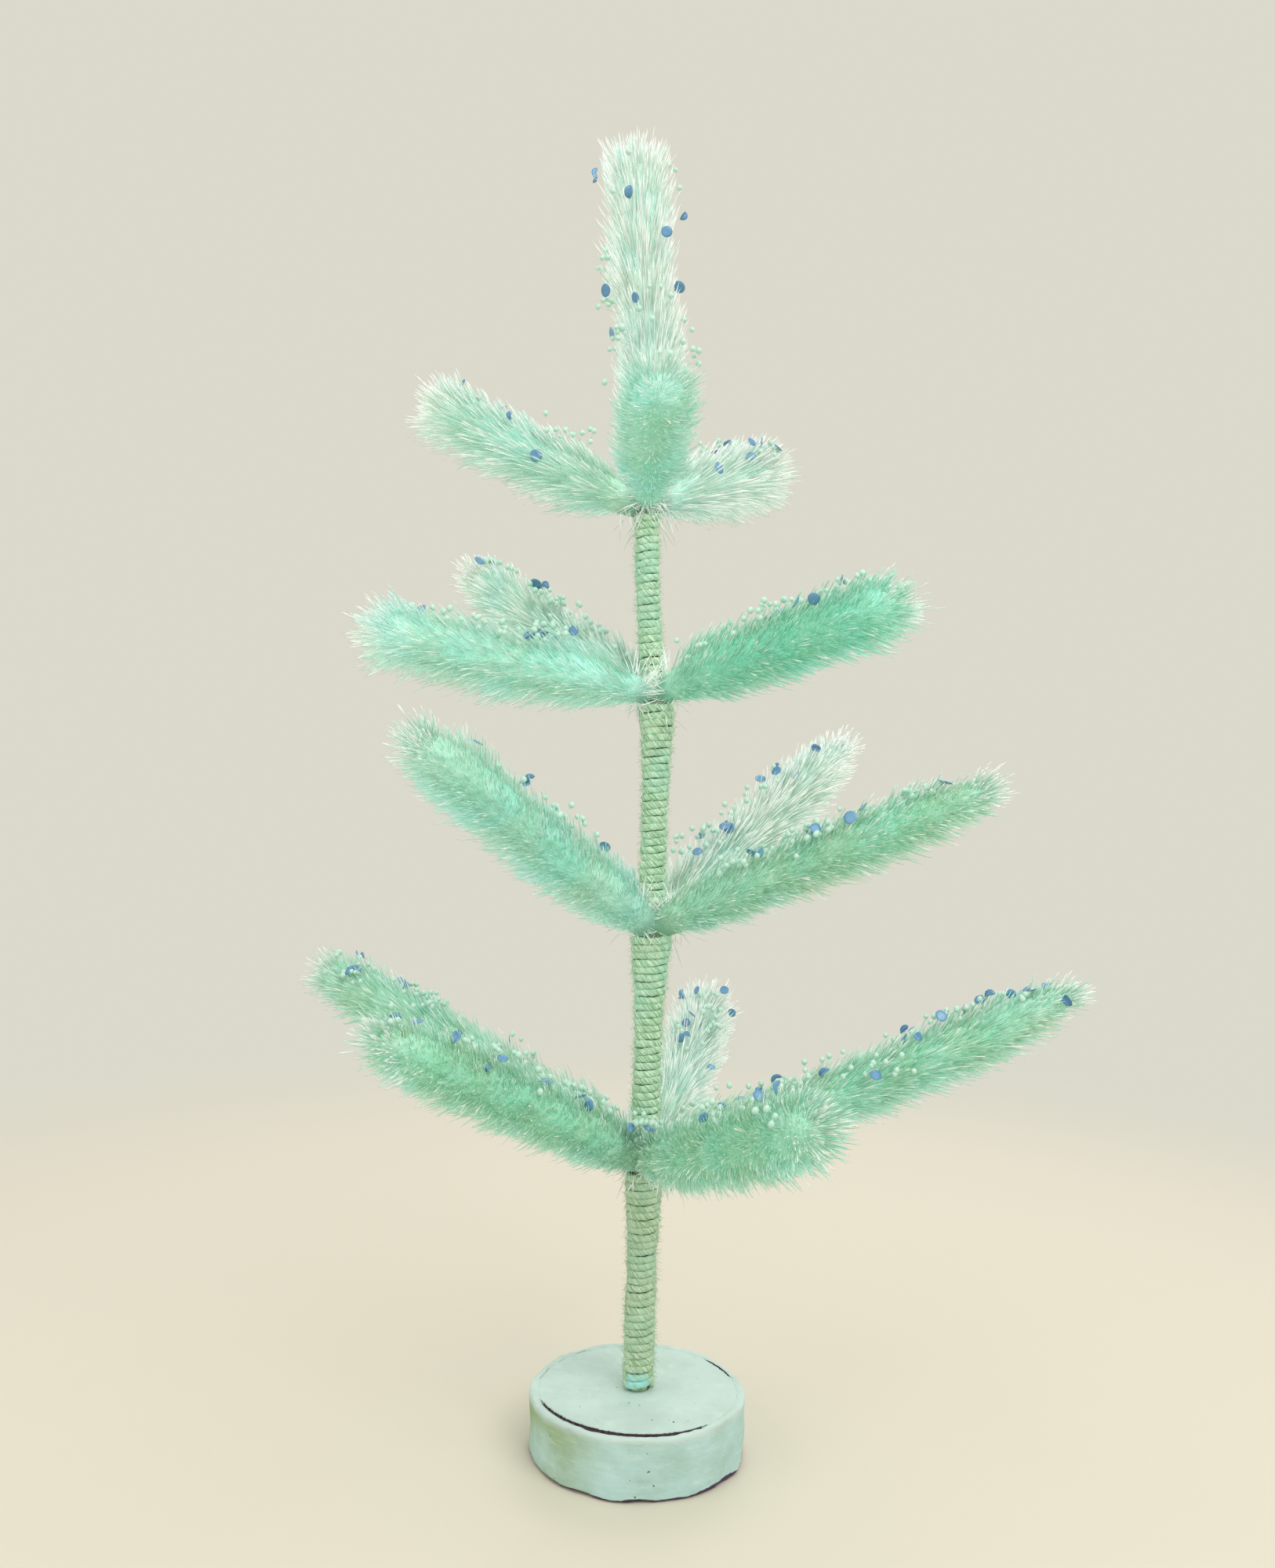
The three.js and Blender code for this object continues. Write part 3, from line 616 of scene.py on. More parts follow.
def brush_strands(line, seed, sweep, look):
    """Fibres stand on the wire in small clumps, swept towards the tip. A strand ends near the
    brush's outline, drawn a little towards the tip of its clump, and some end beyond it. At a brush
    that fans out, the end's strands lean both ways."""
    rng = np.random.default_rng(seed)
    fans = look.tip >= 1
    wire_end = line.length - TUFT_LENGTH
    fullness, _, guard_share, bleached_share = FULLNESS.get(look.dye, PLAIN_FULLNESS)
    clumps = int(STRANDS_A_MM * fullness * wire_end / MM / CLUMP_SIZE)
    count = clumps * CLUMP_SIZE
    clump_place = wire_end * (np.arange(clumps) + rng.random(clumps)) / clumps
    clump_angle = rng.uniform(0, TURN, clumps)
    clump = np.repeat(np.arange(clumps), CLUMP_SIZE)
    station = np.clip(clump_place[clump] + rng.normal(0, 1.2 * MM, count), 0.5 * MM, wire_end)
    angle = clump_angle[clump] + rng.normal(0, 0.09, count)

    lean = sweep + rng.normal(0, 3.5 * DEGREE, count)
    inner = rng.random(count) < 0.06
    lean = np.where(inner, rng.uniform(64 * DEGREE, 84 * DEGREE, count), lean)
    end_share = smoothstep(station, wire_end - 12 * MM, wire_end)
    lean += end_share * (85 * DEGREE - lean) * rng.uniform(-0.9 if fans else 0, 1, count)
    lean = np.minimum(lean, 88 * DEGREE)
    place, radial, way = radial_way(line, station, angle, lean)

    length = strand_lengths(station, angle, lean, line.length, look)
    surface = polar(14 * MM, angle, station)[:, [2, 0, 1]]
    patch = unevenness(surface, 14 * MM, seed)
    guard = rng.random(count) < guard_share + 0.15 * end_share
    bleached = guard & (rng.random(count) < bleached_share + 0.5 * end_share)
    length *= np.where(guard, rng.uniform(0.86, 1, count), 0.52 + 0.48 * rng.random(count))
    length *= (1 + 0.055 * patch) * (1 + end_share * rng.uniform(-0.5, 0, count))
    forward = smoothstep(station + length * np.sin(lean), line.length - 8 * MM, line.length)
    reach = GUARD_REACH * (1 + 0.4 * end_share) * (1 - (0.6 if fans else 0.2) * forward)
    length += guard * reach * rng.random(count) ** 2

    start = place + way * (length * ROOTED_SHARE)[:, None]
    tip = place + way * length[:, None]
    sums = np.add.reduceat(tip, np.arange(0, count, CLUMP_SIZE), axis=0) / CLUMP_SIZE
    pull = np.where(guard, 0, rng.uniform(0, 0.1, count))[:, None]
    tip = tip + (sums[clump] - tip) * pull
    bow = radial * (0.012 * length)[:, None]
    middle = start + (tip - start) * WIDEST_SHARE + bow + rng.normal(0, 0.1 * MM, (count, 3))
    radius = np.where(guard, GUARD_RADIUS, STRAND_RADIUS) * rng.uniform(0.75, 1.25, count)
    radius *= np.where(bleached, 1.25, 1)
    dye_patch = 0.5 + 0.3 * unevenness(place + radial * 9 * MM, 34 * MM, seed + 7)
    strands = strand_arrays(start, middle, tip, radius, station / line.length, rng, bleached, dye_patch)
    return join([strands, root_strands(line, seed + 5)])


def brush_core(line, seed, look):
    """The dense inner fibres as one soft body: rings about the wire, at a share of the outline's
    radius that is greater at the root, pushed in and out by noise, and closed at the end by a
    quarter circle."""
    shares = np.linspace(0, 1, int(line.length / CORE_STEP))
    station = 0.5 * MM + (line.length - CORE_END) * (1 - (1 - shares) ** 1.15)
    turn = ring_angles(CORE_SIDES)
    place, _, across, over = line.at(station)
    to_end = np.clip((line.length - CORE_END + 0.7 * MM - station) / CORE_ROUNDING, 0, 1)
    closing = np.sqrt(1 - (1 - to_end) ** 2)
    _, full_share, _, _ = FULLNESS.get(look.dye, PLAIN_FULLNESS)
    share = CORE_ROOT_SHARE + (full_share - CORE_ROOT_SHARE) * smoothstep(station, 4 * MM, 26 * MM)
    outline = brush_radius(np.minimum(station, line.length - CLOSING_LENGTH), line.length, look)
    radius = (share * closing * outline)[:, None] * root_lift(station[:, None], turn, look)
    ways = turned(across[:, None], over[:, None], turn)
    lumps = unevenness(place[:, None] + ways * radius[..., None], 5 * MM, seed)
    rings = place[:, None] + ways * (radius * (1 + 0.06 * lumps))[..., None]
    points, faces = closed_skin(rings)
    u, v = np.broadcast_arrays((station / line.length)[:, None], turn / TURN)
    uv = np.stack([u, v], -1)
    return points, faces, np.vstack([uv.reshape(-1, 2), uv[0, :1], uv[-1, :1]])


def from_trunk(points):
    """How far points are from the trunk's middle line, in x and y."""
    return points[:, :2] - np.stack([trunk_x(points[:, 2]), np.zeros(len(points))], -1)


def beside_cord(points):
    """Points inside the trunk's cord move straight out to just beyond it."""
    offset = from_trunk(points)
    needed = cord_radius_at(points[:, 2]) + CORD_RADIUS + 0.5 * MM
    needed = np.where(points[:, 2] < TRUNK_TOP, needed, 0)
    moved = points.copy()
    moved[:, :2] += offset * (np.maximum(needed / np.linalg.norm(offset, axis=1), 1) - 1)[:, None]
    return moved


def root_strands(line, seed):
    """Long loose pale fibres at the root: they spread up, down and round the cord, by turning their
    tips about the trunk."""
    rng = np.random.default_rng(seed)
    count = ROOT_STRANDS
    station = rng.uniform(0, 10 * MM, count)
    turn = rng.normal(TURN / 4, 1.2, count)
    lean = rng.uniform(-48 * DEGREE, 45 * DEGREE, count)
    place, radial, way = radial_way(line, station, turn, lean)
    length = rng.uniform(7, 16, count) * MM
    long_one = rng.random(count) < 0.22
    length = np.where(long_one, rng.uniform(17, 28, count) * MM, length)
    start = place + radial * 0.4 * MM
    tip = start + way * length[:, None]
    offset = from_trunk(tip)
    axis = tip[:, :2] - offset
    swing = rng.normal(0, 0.8, count)
    tip[:, :2] = axis + turned(offset, offset[:, ::-1] * [-1, 1], swing) * 0.8
    tip = beside_cord(tip)
    middle = beside_cord((start + tip) / 2 + rng.normal(0, 0.7 * MM, (count, 3)))
    radius = GUARD_RADIUS * rng.uniform(0.6, 1, count) * np.where(long_one, 1.8, 1)
    bleached = long_one | (rng.random(count) < 0.55)
    return strand_arrays(start, middle, tip, radius, rng.uniform(0.4, 1, count), rng, bleached)


# Berries on thin stems, and sequins

def ball_skin(rows=4, columns=8):
    """A ball of latitude rings, of radius 1."""
    latitude = (np.arange(rows)[:, None] + 0.5) / rows * math.pi - math.pi / 2
    points, faces = closed_skin(polar(np.cos(latitude), ring_angles(columns), np.sin(latitude)))
    points[-2] = (0, 0, -1)
    points[-1] = (0, 0, 1)
    return points, faces


def berry_arrays(line, seed, trim, look):
    """Each berry is a ball at the end of a straight stem, in clusters along one side of the brush."""
    rng = np.random.default_rng(seed)
    spread, side = trim
    count = look.berries
    clusters = max(count // 4, 1)
    last = line.length - TUFT_LENGTH
    first = line.length * look.trim_from
    cluster_place = first + (last - first) * rng.random(clusters) ** 1.4
    cluster_angle = side + rng.normal(0, spread, clusters)
    chosen = rng.integers(0, clusters, count)
    station = np.clip(cluster_place[chosen] + rng.normal(0, 5 * MM, count), 4 * MM, last)
    angle = cluster_angle[chosen] + rng.normal(0, 0.2, count)
    place, _, way = radial_way(line, station, angle, rng.normal(0.35, 0.25, count))
    beyond = 0.66 - 0.62 * station / line.length
    reach = brush_radius(station + 6 * MM, line.length, look) * (1 + beyond * rng.random(count))
    centre = place + way * reach[:, None]
    radius = rng.uniform(1.15, 1.6, count) * MM
    shape, shape_faces = ball_skin()
    points = centre[:, None] + shape * radius[:, None, None]
    faces = shape_faces + (np.arange(count) * len(shape))[:, None, None]
    middle = (place + centre) / 2 + rng.normal(0, 0.5 * MM, (count, 3))
    stem_points, stem_faces, _ = strand_arrays(
        place, middle, centre, np.full(count, 0.2 * MM), rng.random(count), rng)
    return join([(points.reshape(-1, 3), faces.reshape(-1, 3)), (stem_points, stem_faces)])


def sequin_arrays(line, seed, trim, look):
    """Each sequin is a thin round wafer of 12 sides, dished, and creased along its middle line."""
    rng = np.random.default_rng(seed)
    spread, side = trim
    count = look.sequins
    station = rng.uniform(line.length * look.trim_from, line.length - TUFT_LENGTH, count)
    angle = side + rng.normal(0, spread, count)
    place, radial, way = radial_way(line, station, angle, rng.normal(0.45, 0.15, count))
    reach = brush_radius(station + 7 * MM, line.length, look) * rng.uniform(1.04, 1.2, count)
    centre = place + way * reach[:, None]
    normal = unit(radial * 0.8 + rng.normal(0, 0.55, (count, 3)) + [0, -0.35, 0])
    first = unit(np.cross(normal, unit(rng.normal(size=(count, 3)))))
    second = np.cross(normal, first)
    size = rng.uniform(2.25, 3.1, count) * MM
    dish = rng.uniform(-0.12, 0.2, count)[:, None]
    crease = np.where(rng.random(count) < 0.35, rng.uniform(0.5, 1.1, count), rng.uniform(0, 0.15, count))
    rim_x, rim_y, _ = polar(1, ring_angles(12)).T
    rings = []
    for share, face in ((0.5, -1), (1, -1), (1, 1), (0.5, 1)):
        x = np.broadcast_to(rim_x * share, (count, 12))
        y = rim_y * share * np.cos(crease)[:, None]
        z = dish * share ** 2 + np.abs(rim_y * share) * crease[:, None]
        flat = (first[:, None] * x[..., None] + second[:, None] * y[..., None]
                + normal[:, None] * z[..., None])
        rings.append(centre[:, None] + flat * size[:, None, None] + normal[:, None] * SEQUIN_WALL / 2 * face)
    return join([closed_skin(wafer) for wafer in np.stack(rings, 1)])


def make_branch(name, body, line, look, seed, materials, sweep, trim):
    """A branch's core, strands, berries and sequins as pieces that ride on the branch. Sisal lets
    light through, so its fibres cast no shadow of their own."""
    core = new_piece(f"core_{name}", [materials[f"{look.dye} core"]], *brush_core(line, seed + 4, look))
    fibres = new_piece(f"fibres_{name}", [materials[look.dye]], *brush_strands(line, seed, sweep, look))
    for part in (core, fibres):
        part.visible_shadow = False
        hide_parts(f"brush_{name}")
        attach(part, body)
    berries = new_piece(f"berries_{name}", [materials["berry"]], *berry_arrays(line, seed + 1, trim, look))
    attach(berries, body)
    sequins = new_piece(f"sequins_{name}", [materials["sequin"]],
                        *sequin_arrays(line, seed + 2, trim, look))
    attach(sequins, body)


# Cord wound round the dowel

def cord_radius_at(height):
    """The winding's middle radius: round the dowel, and swelling below each tier over the wires."""
    swell = np.zeros_like(height)
    below = FOOT_HEIGHT
    for tier, most in zip(TIER_HEIGHTS, CORD_SWELLS):
        top = tier - TIER_GAP_BELOW
        inside = (height > below) & (height <= tier)
        swell = np.where(inside, most * smoothstep(height, top - SWELL_LENGTH, top), swell)
        below = tier
    return dowel_radius(height) + FIT_GAP + CORD_RADIUS + swell


def about_trunk(radius, angle, height):
    """Points round the leaning trunk's middle line."""
    points = polar(radius, angle, height)
    points[:, 0] += trunk_x(height)
    return points


def free_sectors():
    """The middle of the widest free angle between the branches of each tier."""
    sectors = []
    for tier in "1234":
        axes = [j["axis"] for j in frame["joints"] if j["name"].startswith(f"bend_{tier}_")]
        turns = sorted(math.atan2(axis[0], -axis[1]) for axis in axes)
        pairs = list(zip(turns, turns[1:] + [turns[0] + TURN]))
        low, high = max(pairs, key=lambda pair: pair[1] - pair[0])
        sectors.append((low + high) / 2)
    return sectors


def cord_knots():
    """The cord's turns and heights: one pitch a turn, and past each tier's wires an extra climb in
    the widest free sector between that tier's branches."""
    knots = [(0.0, FOOT_HEIGHT + CORD_HALF_HEIGHT * 0.8)]
    for tier, free in zip(TIER_HEIGHTS[:3], free_sectors()):
        angle, height = knots[-1]
        low = tier - TIER_GAP_BELOW - CORD_HALF_HEIGHT
        due = angle + (low - height) / CORD_PITCH * TURN
        crossing = free - CROSSING_TURN
        angle = crossing + TURN * math.ceil((due - crossing) / TURN - 0.5)
        high = tier + TIER_GAP_ABOVE + CORD_HALF_HEIGHT * 0.6
        knots += [(angle, low), (angle + 2 * CROSSING_TURN, high)]
    angle, height = knots[-1]
    last = TRUNK_TOP - TIER_GAP_BELOW - CORD_HALF_HEIGHT
    knots.append((angle + (last - height) / CORD_PITCH * TURN, last))
    return np.array(knots).T


def make_cord(material):
    """The twine's section is a squarish ellipse with two hollows, turned steadily along a helix. The
    attribute yarn_way holds the place round the section as a circle that turns with the lay, and the
    run in lays."""
    knots, heights = cord_knots()
    steps = int((knots[-1] - knots[0]) / TURN * CORD_STEPS_A_TURN)
    angle = np.linspace(knots[0], knots[-1], steps)
    wander = np.stack([angle, np.zeros_like(angle)], -1)
    height = np.interp(angle, knots, heights)
    height = height + 0.22 * MM * unevenness(wander, 5.1, 5) + 0.2 * MM * unevenness(wander, 1.9, 6)
    radius = cord_radius_at(height) + 0.24 * MM * unevenness(wander, 3.3, 7)
    centre = about_trunk(radius, angle, height)
    along = unit(np.gradient(centre, axis=0))
    outward = polar(1, angle)
    outward = unit(outward - along * (outward * along).sum(-1)[:, None])
    upward = np.cross(along, outward)

    around = ring_angles(CORD_SIDES)
    travelled = np.concatenate([[0], np.cumsum(np.linalg.norm(np.diff(centre, axis=0), axis=1))])
    run = (travelled / CORD_LAY)[:, None]
    yarn = around - run * TURN
    hollow = 1 - 0.15 * (1 - np.abs(np.cos(yarn))) ** 1.6
    section = hollow * (1 + 0.07 * unevenness(wander, 2.3, 8))[:, None]
    circle = np.stack([np.cos(around), np.sin(around)])
    squared = np.abs(circle) ** 0.78 * np.sign(circle)
    rings = (centre[:, None] + outward[:, None] * (squared[0] * section * CORD_RADIUS)[..., None]
             + upward[:, None] * (squared[1] * section * CORD_HALF_HEIGHT)[..., None])
    rings += outward[:, None] * (0.07 * MM * unevenness(rings, 1.1 * MM, 9))[..., None]
    cord = new_piece("cord_winding", [material], *closed_skin(rings))
    yarns = polar(1, yarn, run).reshape(-1, 3)
    yarns = np.vstack([yarns, yarns[:1], yarns[-1:]])
    layer = cord.data.attributes.new("yarn_way", "FLOAT_VECTOR", "POINT")
    layer.data.foreach_set("vector", yarns.astype(np.float32).ravel())
    for tier in range(1, 5):
        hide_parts(f"cord_winding_{tier}", f"cord_sleeve_{tier}")
    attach(cord, "trunk")


def make_cord_fuzz(material):
    """Short hairs of the twine, standing off its turns in all directions."""
    rng = np.random.default_rng(40)
    count = CORD_HAIRS
    height = rng.uniform(FOOT_HEIGHT + 2 * MM, TRUNK_TOP - 4 * MM, count)
    angle = rng.uniform(0, TURN, count)
    outward = polar(1, angle)
    sideways = polar(1, angle + TURN / 4)
    start = about_trunk(cord_radius_at(height) + CORD_RADIUS * 0.75, angle, height)
    way = unit(outward * rng.uniform(0.15, 0.8, (count, 1)) + sideways * rng.normal(0, 1, (count, 1))
               + np.array([0, 0, 1]) * rng.normal(0, 0.45, (count, 1)))
    length = rng.uniform(1.2, 4.6, count) * MM
    tip = start + way * length[:, None]
    middle = (start + tip) / 2 + outward * 0.25 * MM
    hairs = strand_arrays(start, middle, tip, np.full(count, 0.1 * MM), rng.random(count), rng)
    fuzz = new_piece("cord_fuzz", [material], *hairs)
    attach(fuzz, "trunk")


# Foot

def log_radius(angle):
    """The log's outline: a circle with a few low waves."""
    lumps = sum(share * np.sin(waves * angle + TURN * phase) for waves, share, phase in LOG_LUMPS)
    return FOOT_RADIUS * (1 + lumps)


def split_width(angle):
    """The gap where the dried bark has come away: widest at the middle of each split."""
    width = np.zeros_like(angle)
    for middle, half, most in BARK_SPLITS:
        off = np.abs((np.degrees(angle) - middle + 180) % 360 - 180) / half
        width = np.maximum(width, most * np.cos(np.clip(off, 0, 1) * math.pi / 2) ** 1.35)
    return width


def make_wood(paint, raw):
    """The wood's painted face: a profile of distance and height, turned round the log's outline with
    a rounded rim, ragged along the splits, low waves on top and the dowel's hole."""
    angle = ring_angles(360)
    split = split_width(angle)
    shut = 1 - smoothstep(split, 0, 0.3 * MM)
    ragged = 0.24 * MM * unevenness(polar(1, angle)[:, :2], 0.035, 21)
    rim = log_radius(angle) - BARK_THICKNESS + 0.35 * MM * shut - split + ragged * (1 - shut)
    profile = [(rim - 1.2 * MM, 0), (rim, 1.2 * MM), (rim, FOOT_HEIGHT / 2), (rim, FOOT_HEIGHT - 1 * MM)]
    for share in (0.25, 0.5, 0.75, 1.0):
        inset = WOOD_ROUNDING * (1 - math.cos(share * math.pi / 2))
        drop = WOOD_ROUNDING * (1 - math.sin(share * math.pi / 2))
        profile.append((rim - inset, FOOT_HEIGHT - drop * (1 - 0.9 * shut)))
    top_start = len(profile)
    profile += [(rim * share, FOOT_HEIGHT) for share in np.linspace(0.97, 0.12, 44)]
    top_end = len(profile)
    hole = DOWEL_FOOT_RADIUS + FIT_GAP
    profile += [(hole, FOOT_HEIGHT), (hole, SOCKET_FLOOR)]
    rings = np.array([polar(radius, angle, height) for radius, height in profile])
    top = rings[top_start:top_end]
    places = top[..., :2]
    top[..., 2] += 0.16 * MM * unevenness(places, 17 * MM, 22) + 0.05 * MM * unevenness(places, 4 * MM, 23)
    points, faces = closed_skin(rings)
    is_raw = points[faces].mean(1)[:, 2] < FOOT_HEIGHT - 0.7 * MM
    wood = new_piece("wood_face", [paint, raw], points, faces, face_material=is_raw)
    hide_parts("wood_slice")
    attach(wood, "trunk")


def make_bark(paint, raw):
    """The bark: a profile of distance and height, turned round the log's outline and closed into a
    band, with a half circle as its rim, a chipped lower edge, and lumps by noise."""
    sides = 480
    angle = ring_angles(sides)
    outer = log_radius(angle)
    inner = outer - BARK_THICKNESS
    top = FOOT_HEIGHT + BARK_LIP
    foot_lift = 0.3 * MM + 1.3 * MM * np.clip(unevenness(polar(1, angle)[:, :2], 0.5, 31), 0, 1.2)
    split = split_width(angle)
    shut = 1 - smoothstep(split, 0, 0.3 * MM)
    profile = [(inner, top - BARK_INSIDE), (inner, top - 0.6 * MM)]
    for turn in np.linspace(math.pi, 0, 9):
        height = top - BARK_RIM_DROP + 1.5 * MM * abs(math.sin(turn)) ** 0.8 - SPLIT_DROP * (1 - shut)
        if turn > math.pi / 2:
            height = np.maximum(height, (FOOT_HEIGHT + 0.12 * MM) * shut)
        profile.append(((inner + outer) / 2 + BARK_THICKNESS / 2 * math.cos(turn) * 0.985, height))
    for share in np.linspace(0.04, 1, 44):
        profile.append((outer, (top - BARK_RIM_DROP) * (1 - share) + (foot_lift + 0.9 * MM) * share))
    profile += [(outer - 0.8 * MM, foot_lift), (inner, foot_lift)]
    grid = np.array([polar(radius, angle, height) for radius, height in profile])
    ragged = 0.2 * MM * unevenness(grid, 1.6 * MM, 35) * (split > 0)
    amount = (0.3 * MM * unevenness(grid, 24 * MM, 32) + 0.09 * MM * unevenness(grid, 6 * MM, 33)
              + 0.035 * MM * unevenness(grid, 2.2 * MM, 34))
    amount[:4] = ragged[:4] * 0.8
    amount[-1] = 0
    grid[..., :2] += unit(grid[..., :2]) * amount[..., None]
    grid[2:10, :, 2] += 0.14 * MM * unevenness(grid[2:10], 6 * MM, 36)
    rows = len(profile)
    faces = grid_faces(rows, sides, wrap_rows=True)[:, [0, 2, 1]]
    points = grid.reshape(-1, 3)
    x, y, _ = points[faces].mean(1).T
    row = faces.min(1) // sides
    is_raw = (row < 2) & (split_width(np.arctan2(y, x)) > 0.25 * MM) | (row >= rows - 2)
    bark = new_piece("bark_band", [paint, raw], points, faces, face_material=is_raw)
    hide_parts("bark_ring")
    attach(bark, "trunk")


# Finishes of the foot, the cord and the trimmings

def paint_material():
    """Chalky paint: two close tones in soft patches and level brush strokes, darker down the side as
    painted shade, yellower and darker towards the left there, a stain that also paints the shade of
    the side away from the light, a few dark specks, a fine grain, and a ragged lower edge where it
    has chipped off."""
    material, tree = new_material("chalk_paint", 0.82)
    place = object_place(tree)
    x, y, z = parts_of(tree, place)
    patch = span(tree, noise(tree, place, 45, 3), 0.35, 0.7)
    face = mix(tree, patch, "bfd3cb", "b6cac1")
    # painted shade: the side's tones are darker than the top's, as the side is turned away from the light
    # above
    side = mix(tree, patch, "b4d5d1", "a7c7bd")
    # a yellow-green stain on the left of the side, darker there as painted shade of the side away from the
    # lamps
    leftward = span(tree, x, -FOOT_RADIUS * 1.05, 0, 1, 0)
    left_stain_and_shade = times(tree, leftward, span(tree, noise(tree, place, 30, 2), 0.25, 0.58))
    left_stain_and_shade = times(tree, left_stain_and_shade, span(tree, y, -5 * MM, 30 * MM, 1, 0.35))
    side = mix(tree, left_stain_and_shade, side, "90a874")
    # the side's darker tones as painted shade, below the top's paler ones
    tone = mix(tree, span(tree, z, FOOT_HEIGHT - 5 * MM, FOOT_HEIGHT - 1 * MM), side, face)
    stroke = scaled_noise(tree, place, (70, 70, 420), 4, 0.65)
    tone = mix(tree, span(tree, stroke, 0.5, 0.78, 0.0, 0.4), tone, "d6e8dc")
    tone = mix(tree, span(tree, stroke, 0.22, 0.42, 0.3, 0.0), tone, "8fae93")
    speck = span(tree, noise(tree, place, 520, 1), 0.7, 0.73)
    rare = span(tree, noise(tree, place, 70, 1), 0.56, 0.66)
    tone = mix(tree, times(tree, speck, rare), tone, "5d6a58")
    edge = times(tree, noise(tree, place, 34, 4, 0.65), 6.5 * MM)
    above = calc(tree, "SUBTRACT", z, edge)
    tone = mix(tree, span(tree, above, -1.9 * MM, -1.5 * MM), "4a3550", tone)
    grain = times(tree, noise(tree, place, 260, 2), 1.6)
    grain = plus(tree, noise(tree, place, 900, 3), grain)
    grain = plus(tree, times(tree, stroke, 1.2), grain)
    return coat(material, tone, bump(tree, grain, 0.35, 0.25 * MM))


def bark_material():
    """Bare bark: dark purplish brown, coarse."""
    material, tree = new_material("raw_bark", 0.95)
    place = object_place(tree)
    tone = mix(tree, noise(tree, place, 500, 3), "2f2233", "6a5560")
    return coat(material, tone, bump(tree, noise(tree, place, 900, 4), 0.7, 0.4 * MM))


def cord_material():
    """Dyed twine: streaks along its yarns, which the attribute yarn_way gives, darker and more olive
    below the first tier as painted shade of the branches above, with an aqua dab at the foot."""
    material, tree = new_material("dyed_jute", 0.9)
    yarn_way = add_node(tree, "Attribute", {}, attribute_name="yarn_way").outputs["Vector"]
    streak = scaled_noise(tree, yarn_way, (3.4, 3.4, 1.3), 3, 0.6)
    place = object_place(tree)
    _, y, z = parts_of(tree, place)
    tone = mix(tree, span(tree, streak, 0.38, 0.62), "76ac7c", "ddf3d9")
    patch = span(tree, noise(tree, place, 38, 2), 0.42, 0.7)
    tone = mix(tree, times(tree, patch, 0.45), tone, "a8dec8")
    # painted shade of the branches above: the cord below the first tier is mixed 30 % towards a dark olive
    under_tier_shade = span(tree, z, TIER_HEIGHTS[0] - 5 * MM, TIER_HEIGHTS[0], 0.3, 0.0)
    tone = mix(tree, under_tier_shade, tone, "969e78")
    low = span(tree, z, FOOT_HEIGHT + 5 * MM, FOOT_HEIGHT + 12 * MM, 1, 0)
    dab = times(tree, low, span(tree, y, -6 * MM, -3.5 * MM, 1, 0))
    dab = times(tree, dab, span(tree, noise(tree, place, 210, 2), 0.3, 0.55))
    tone = mix(tree, times(tree, dab, 0.85), tone, "9fe0dc")
    return coat(material, tone, bump(tree, streak, 0.6, 0.3 * MM))


def plain_material(name, roughness, metal, scale, detail, dark, light):
    """Two close tones mixed by a noise."""
    material, tree = new_material(name, roughness, metal)
    share = noise(tree, object_place(tree), scale, detail)
    return coat(material, mix(tree, share, dark, light))


# Stage

def make_sky():
    """An even bright sky for light, of which the camera and reflections see only the backdrop."""
    world = bpy.context.scene.world or bpy.data.worlds.new("studio")
    bpy.context.scene.world = world
    world.use_nodes = True
    tree = world.node_tree
    tree.nodes.clear()
    shown = add_node(tree, "Background", {"Color": BACKDROP}).outputs[0]
    lit = add_node(tree, "Background", {"Color": SKY_LIGHT, "Strength": SKY_STRENGTH}).outputs[0]
    rays = add_node(tree, "LightPath", {}).outputs
    seen = plus(tree, rays["Is Camera Ray"], rays["Is Glossy Ray"], clamp=True)
    light = add_node(tree, "MixShader", {0: seen, 1: lit, 2: shown})
    add_node(tree, "OutputWorld", {0: light.outputs[0]})


def make_floor():
    """A pale round floor that fades into the backdrop colour away from its middle."""
    material, tree = new_material("pale_floor", 0.9)
    shader = tree.nodes["Principled BSDF"]
    shader.inputs["Base Color"].default_value = linear(FLOOR_COLOUR)
    away = add_node(tree, "VectorMath", {0: object_place(tree)}, operation="LENGTH").outputs["Value"]
    fade = span(tree, away, *FLOOR_FADE)
    distant = add_node(tree, "Emission", {"Color": BACKDROP})
    blend = add_node(tree, "MixShader", {0: fade, 1: shader.outputs[0], 2: distant.outputs[0]})
    tree.links.new(blend.outputs[0], tree.nodes["Material Output"].inputs[0])
    columns = 96
    rings = polar(np.array(FLOOR_RADII)[:, None], ring_angles(columns), FLOOR_DROP)
    points = np.vstack([rings.reshape(-1, 3), [0, 0, FLOOR_DROP]])
    outside = grid_faces(len(rings), columns)[:, [0, 2, 1]]
    faces = np.concatenate([outside, fan_faces(len(points) - 1, 0, columns)])
    floor = new_piece("floor", [material], points, faces)
    floor.data.shade_flat()


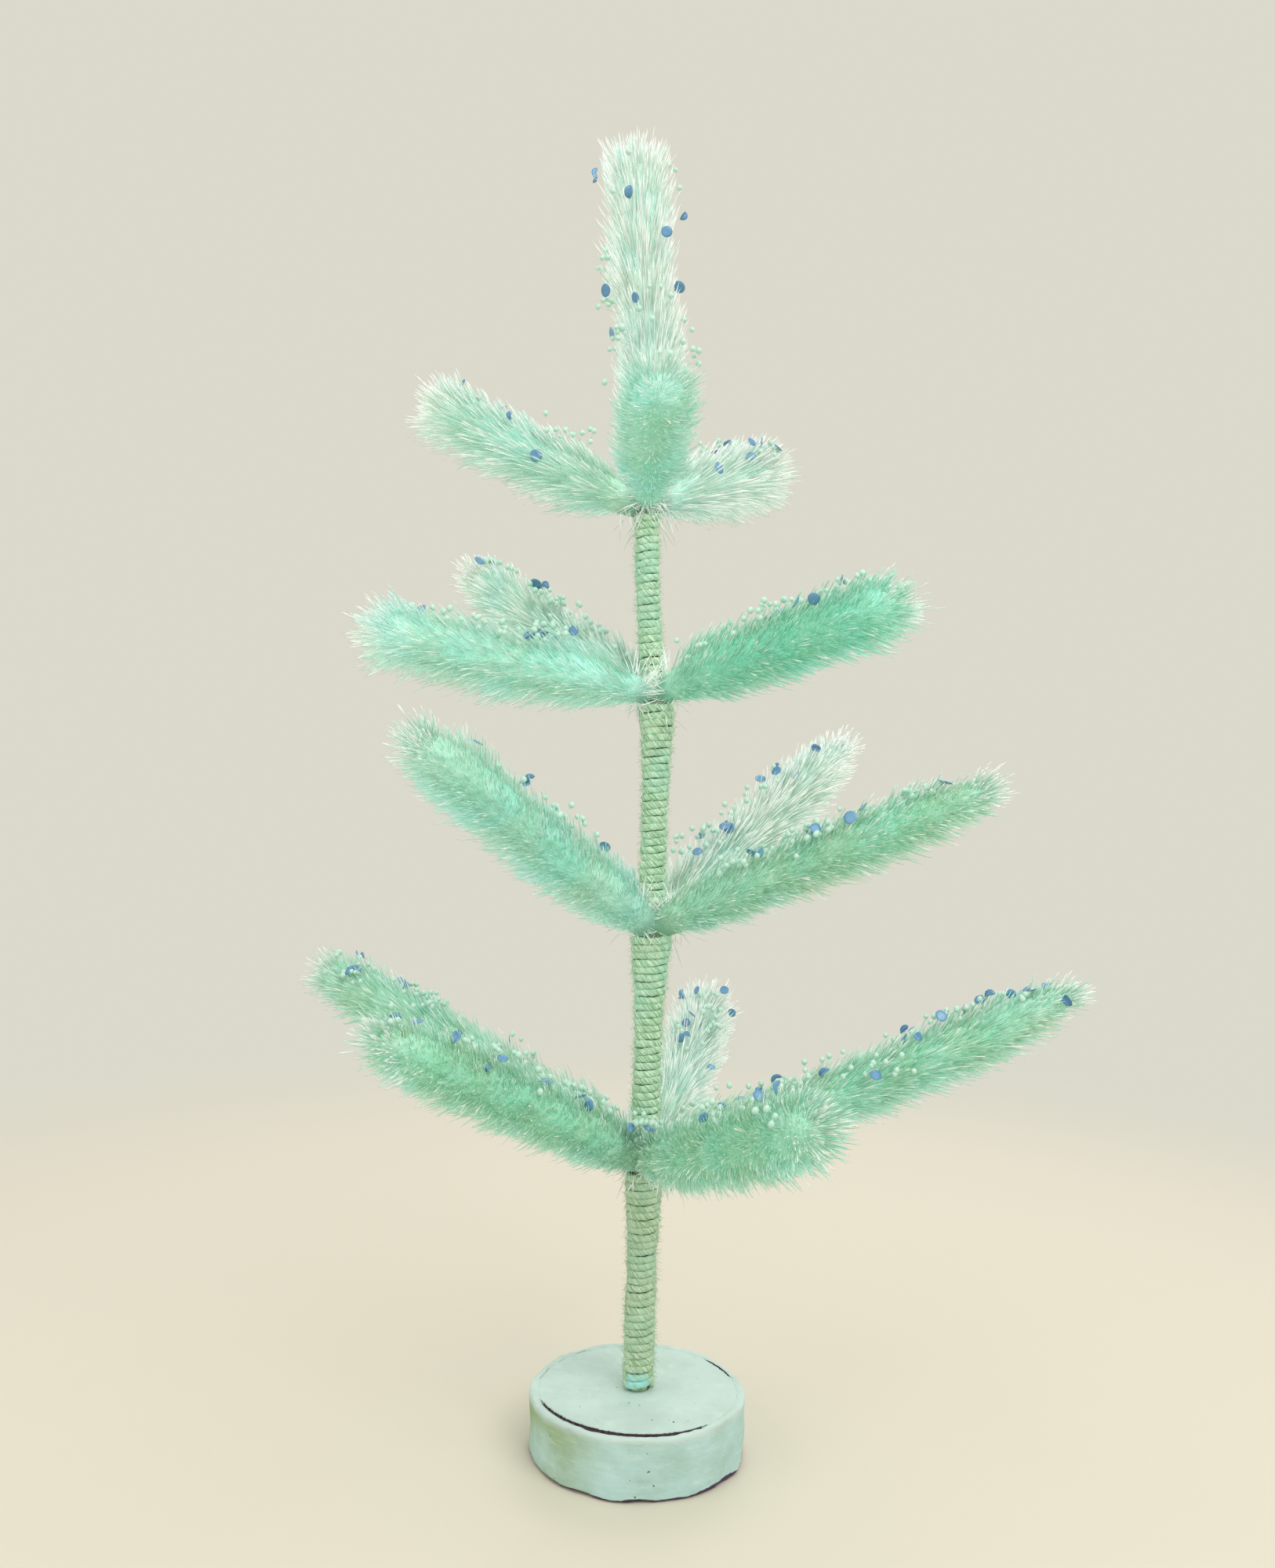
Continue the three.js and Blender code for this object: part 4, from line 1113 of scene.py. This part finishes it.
def make_lamps():
    """Three soft lamps."""
    for name, (place, size, power) in LAMPS.items():
        lamp = bpy.data.lights.new(name, "AREA")
        lamp.size = size
        lamp.energy = power
        holder = new_object(name, lamp)
        holder.location = place
        aim = Vector(LAMP_AIM) - Vector(place)
        holder.rotation_euler = aim.to_track_quat("-Z", "Y").to_euler()


def make_camera():
    """The camera is rolled about its own line of sight, pitched down from level, turned about Z and
    put in its place."""
    lens = bpy.data.cameras.new("photo_view")
    lens.sensor_fit = "VERTICAL"
    lens.sensor_height = SENSOR_HEIGHT
    lens.lens = CAMERA_LENS
    camera = new_object("photo_view", lens)
    camera.matrix_world = (
        Matrix.Translation(CAMERA_PLACE) @ Matrix.Rotation(CAMERA_YAW, 4, "Z")
        @ Matrix.Rotation(TURN / 4 - CAMERA_PITCH, 4, "X") @ Matrix.Rotation(CAMERA_ROLL, 4, "Z"))
    bpy.context.scene.camera = camera


def dress_nodes(materials):
    """The wires, their tails and the dowel keep their solids and get their finishes."""
    for name, node in frame["nodes"].items():
        if name.startswith("wire"):
            finish = materials["steel_wire"]
        elif name == "trunk_dowel":
            finish = materials["dowel_wood"]
        else:
            continue
        node.data.materials.clear()
        node.data.materials.append(finish)


def main():
    bpy.context.scene.view_settings.view_transform = "Standard"
    make_camera()
    make_sky()
    make_floor()
    make_lamps()
    materials = {name: plain_material(name, *finish) for name, finish in PLAIN_FINISHES.items()}
    dye = dyed_strand_group()
    for name, look in DYES.items():
        materials[name] = fibre_material(f"sisal_{name}", dye, *look)
        materials[f"{name} core"] = core_material(f"sisal_{name}_core", *look[:3], look[4])
    raw = bark_material()
    paint = paint_material()
    make_wood(paint, raw)
    make_bark(paint, raw)
    make_cord(cord_material())
    make_cord_fuzz(fibre_material("jute_hair", dye, *HAIR_DYE))
    for index, (name, look) in enumerate(BRANCHES.items()):
        make_branch(name, f"branch_{name}", branch_line(name), look, 100 + index * 10, materials,
                    BRANCH_SWEEP, BRANCH_TRIM)
    make_branch("leader", "leader", leader_line(), LEADER, 300, materials, LEADER_SWEEP, LEADER_TRIM)
    dress_nodes(materials)


main()
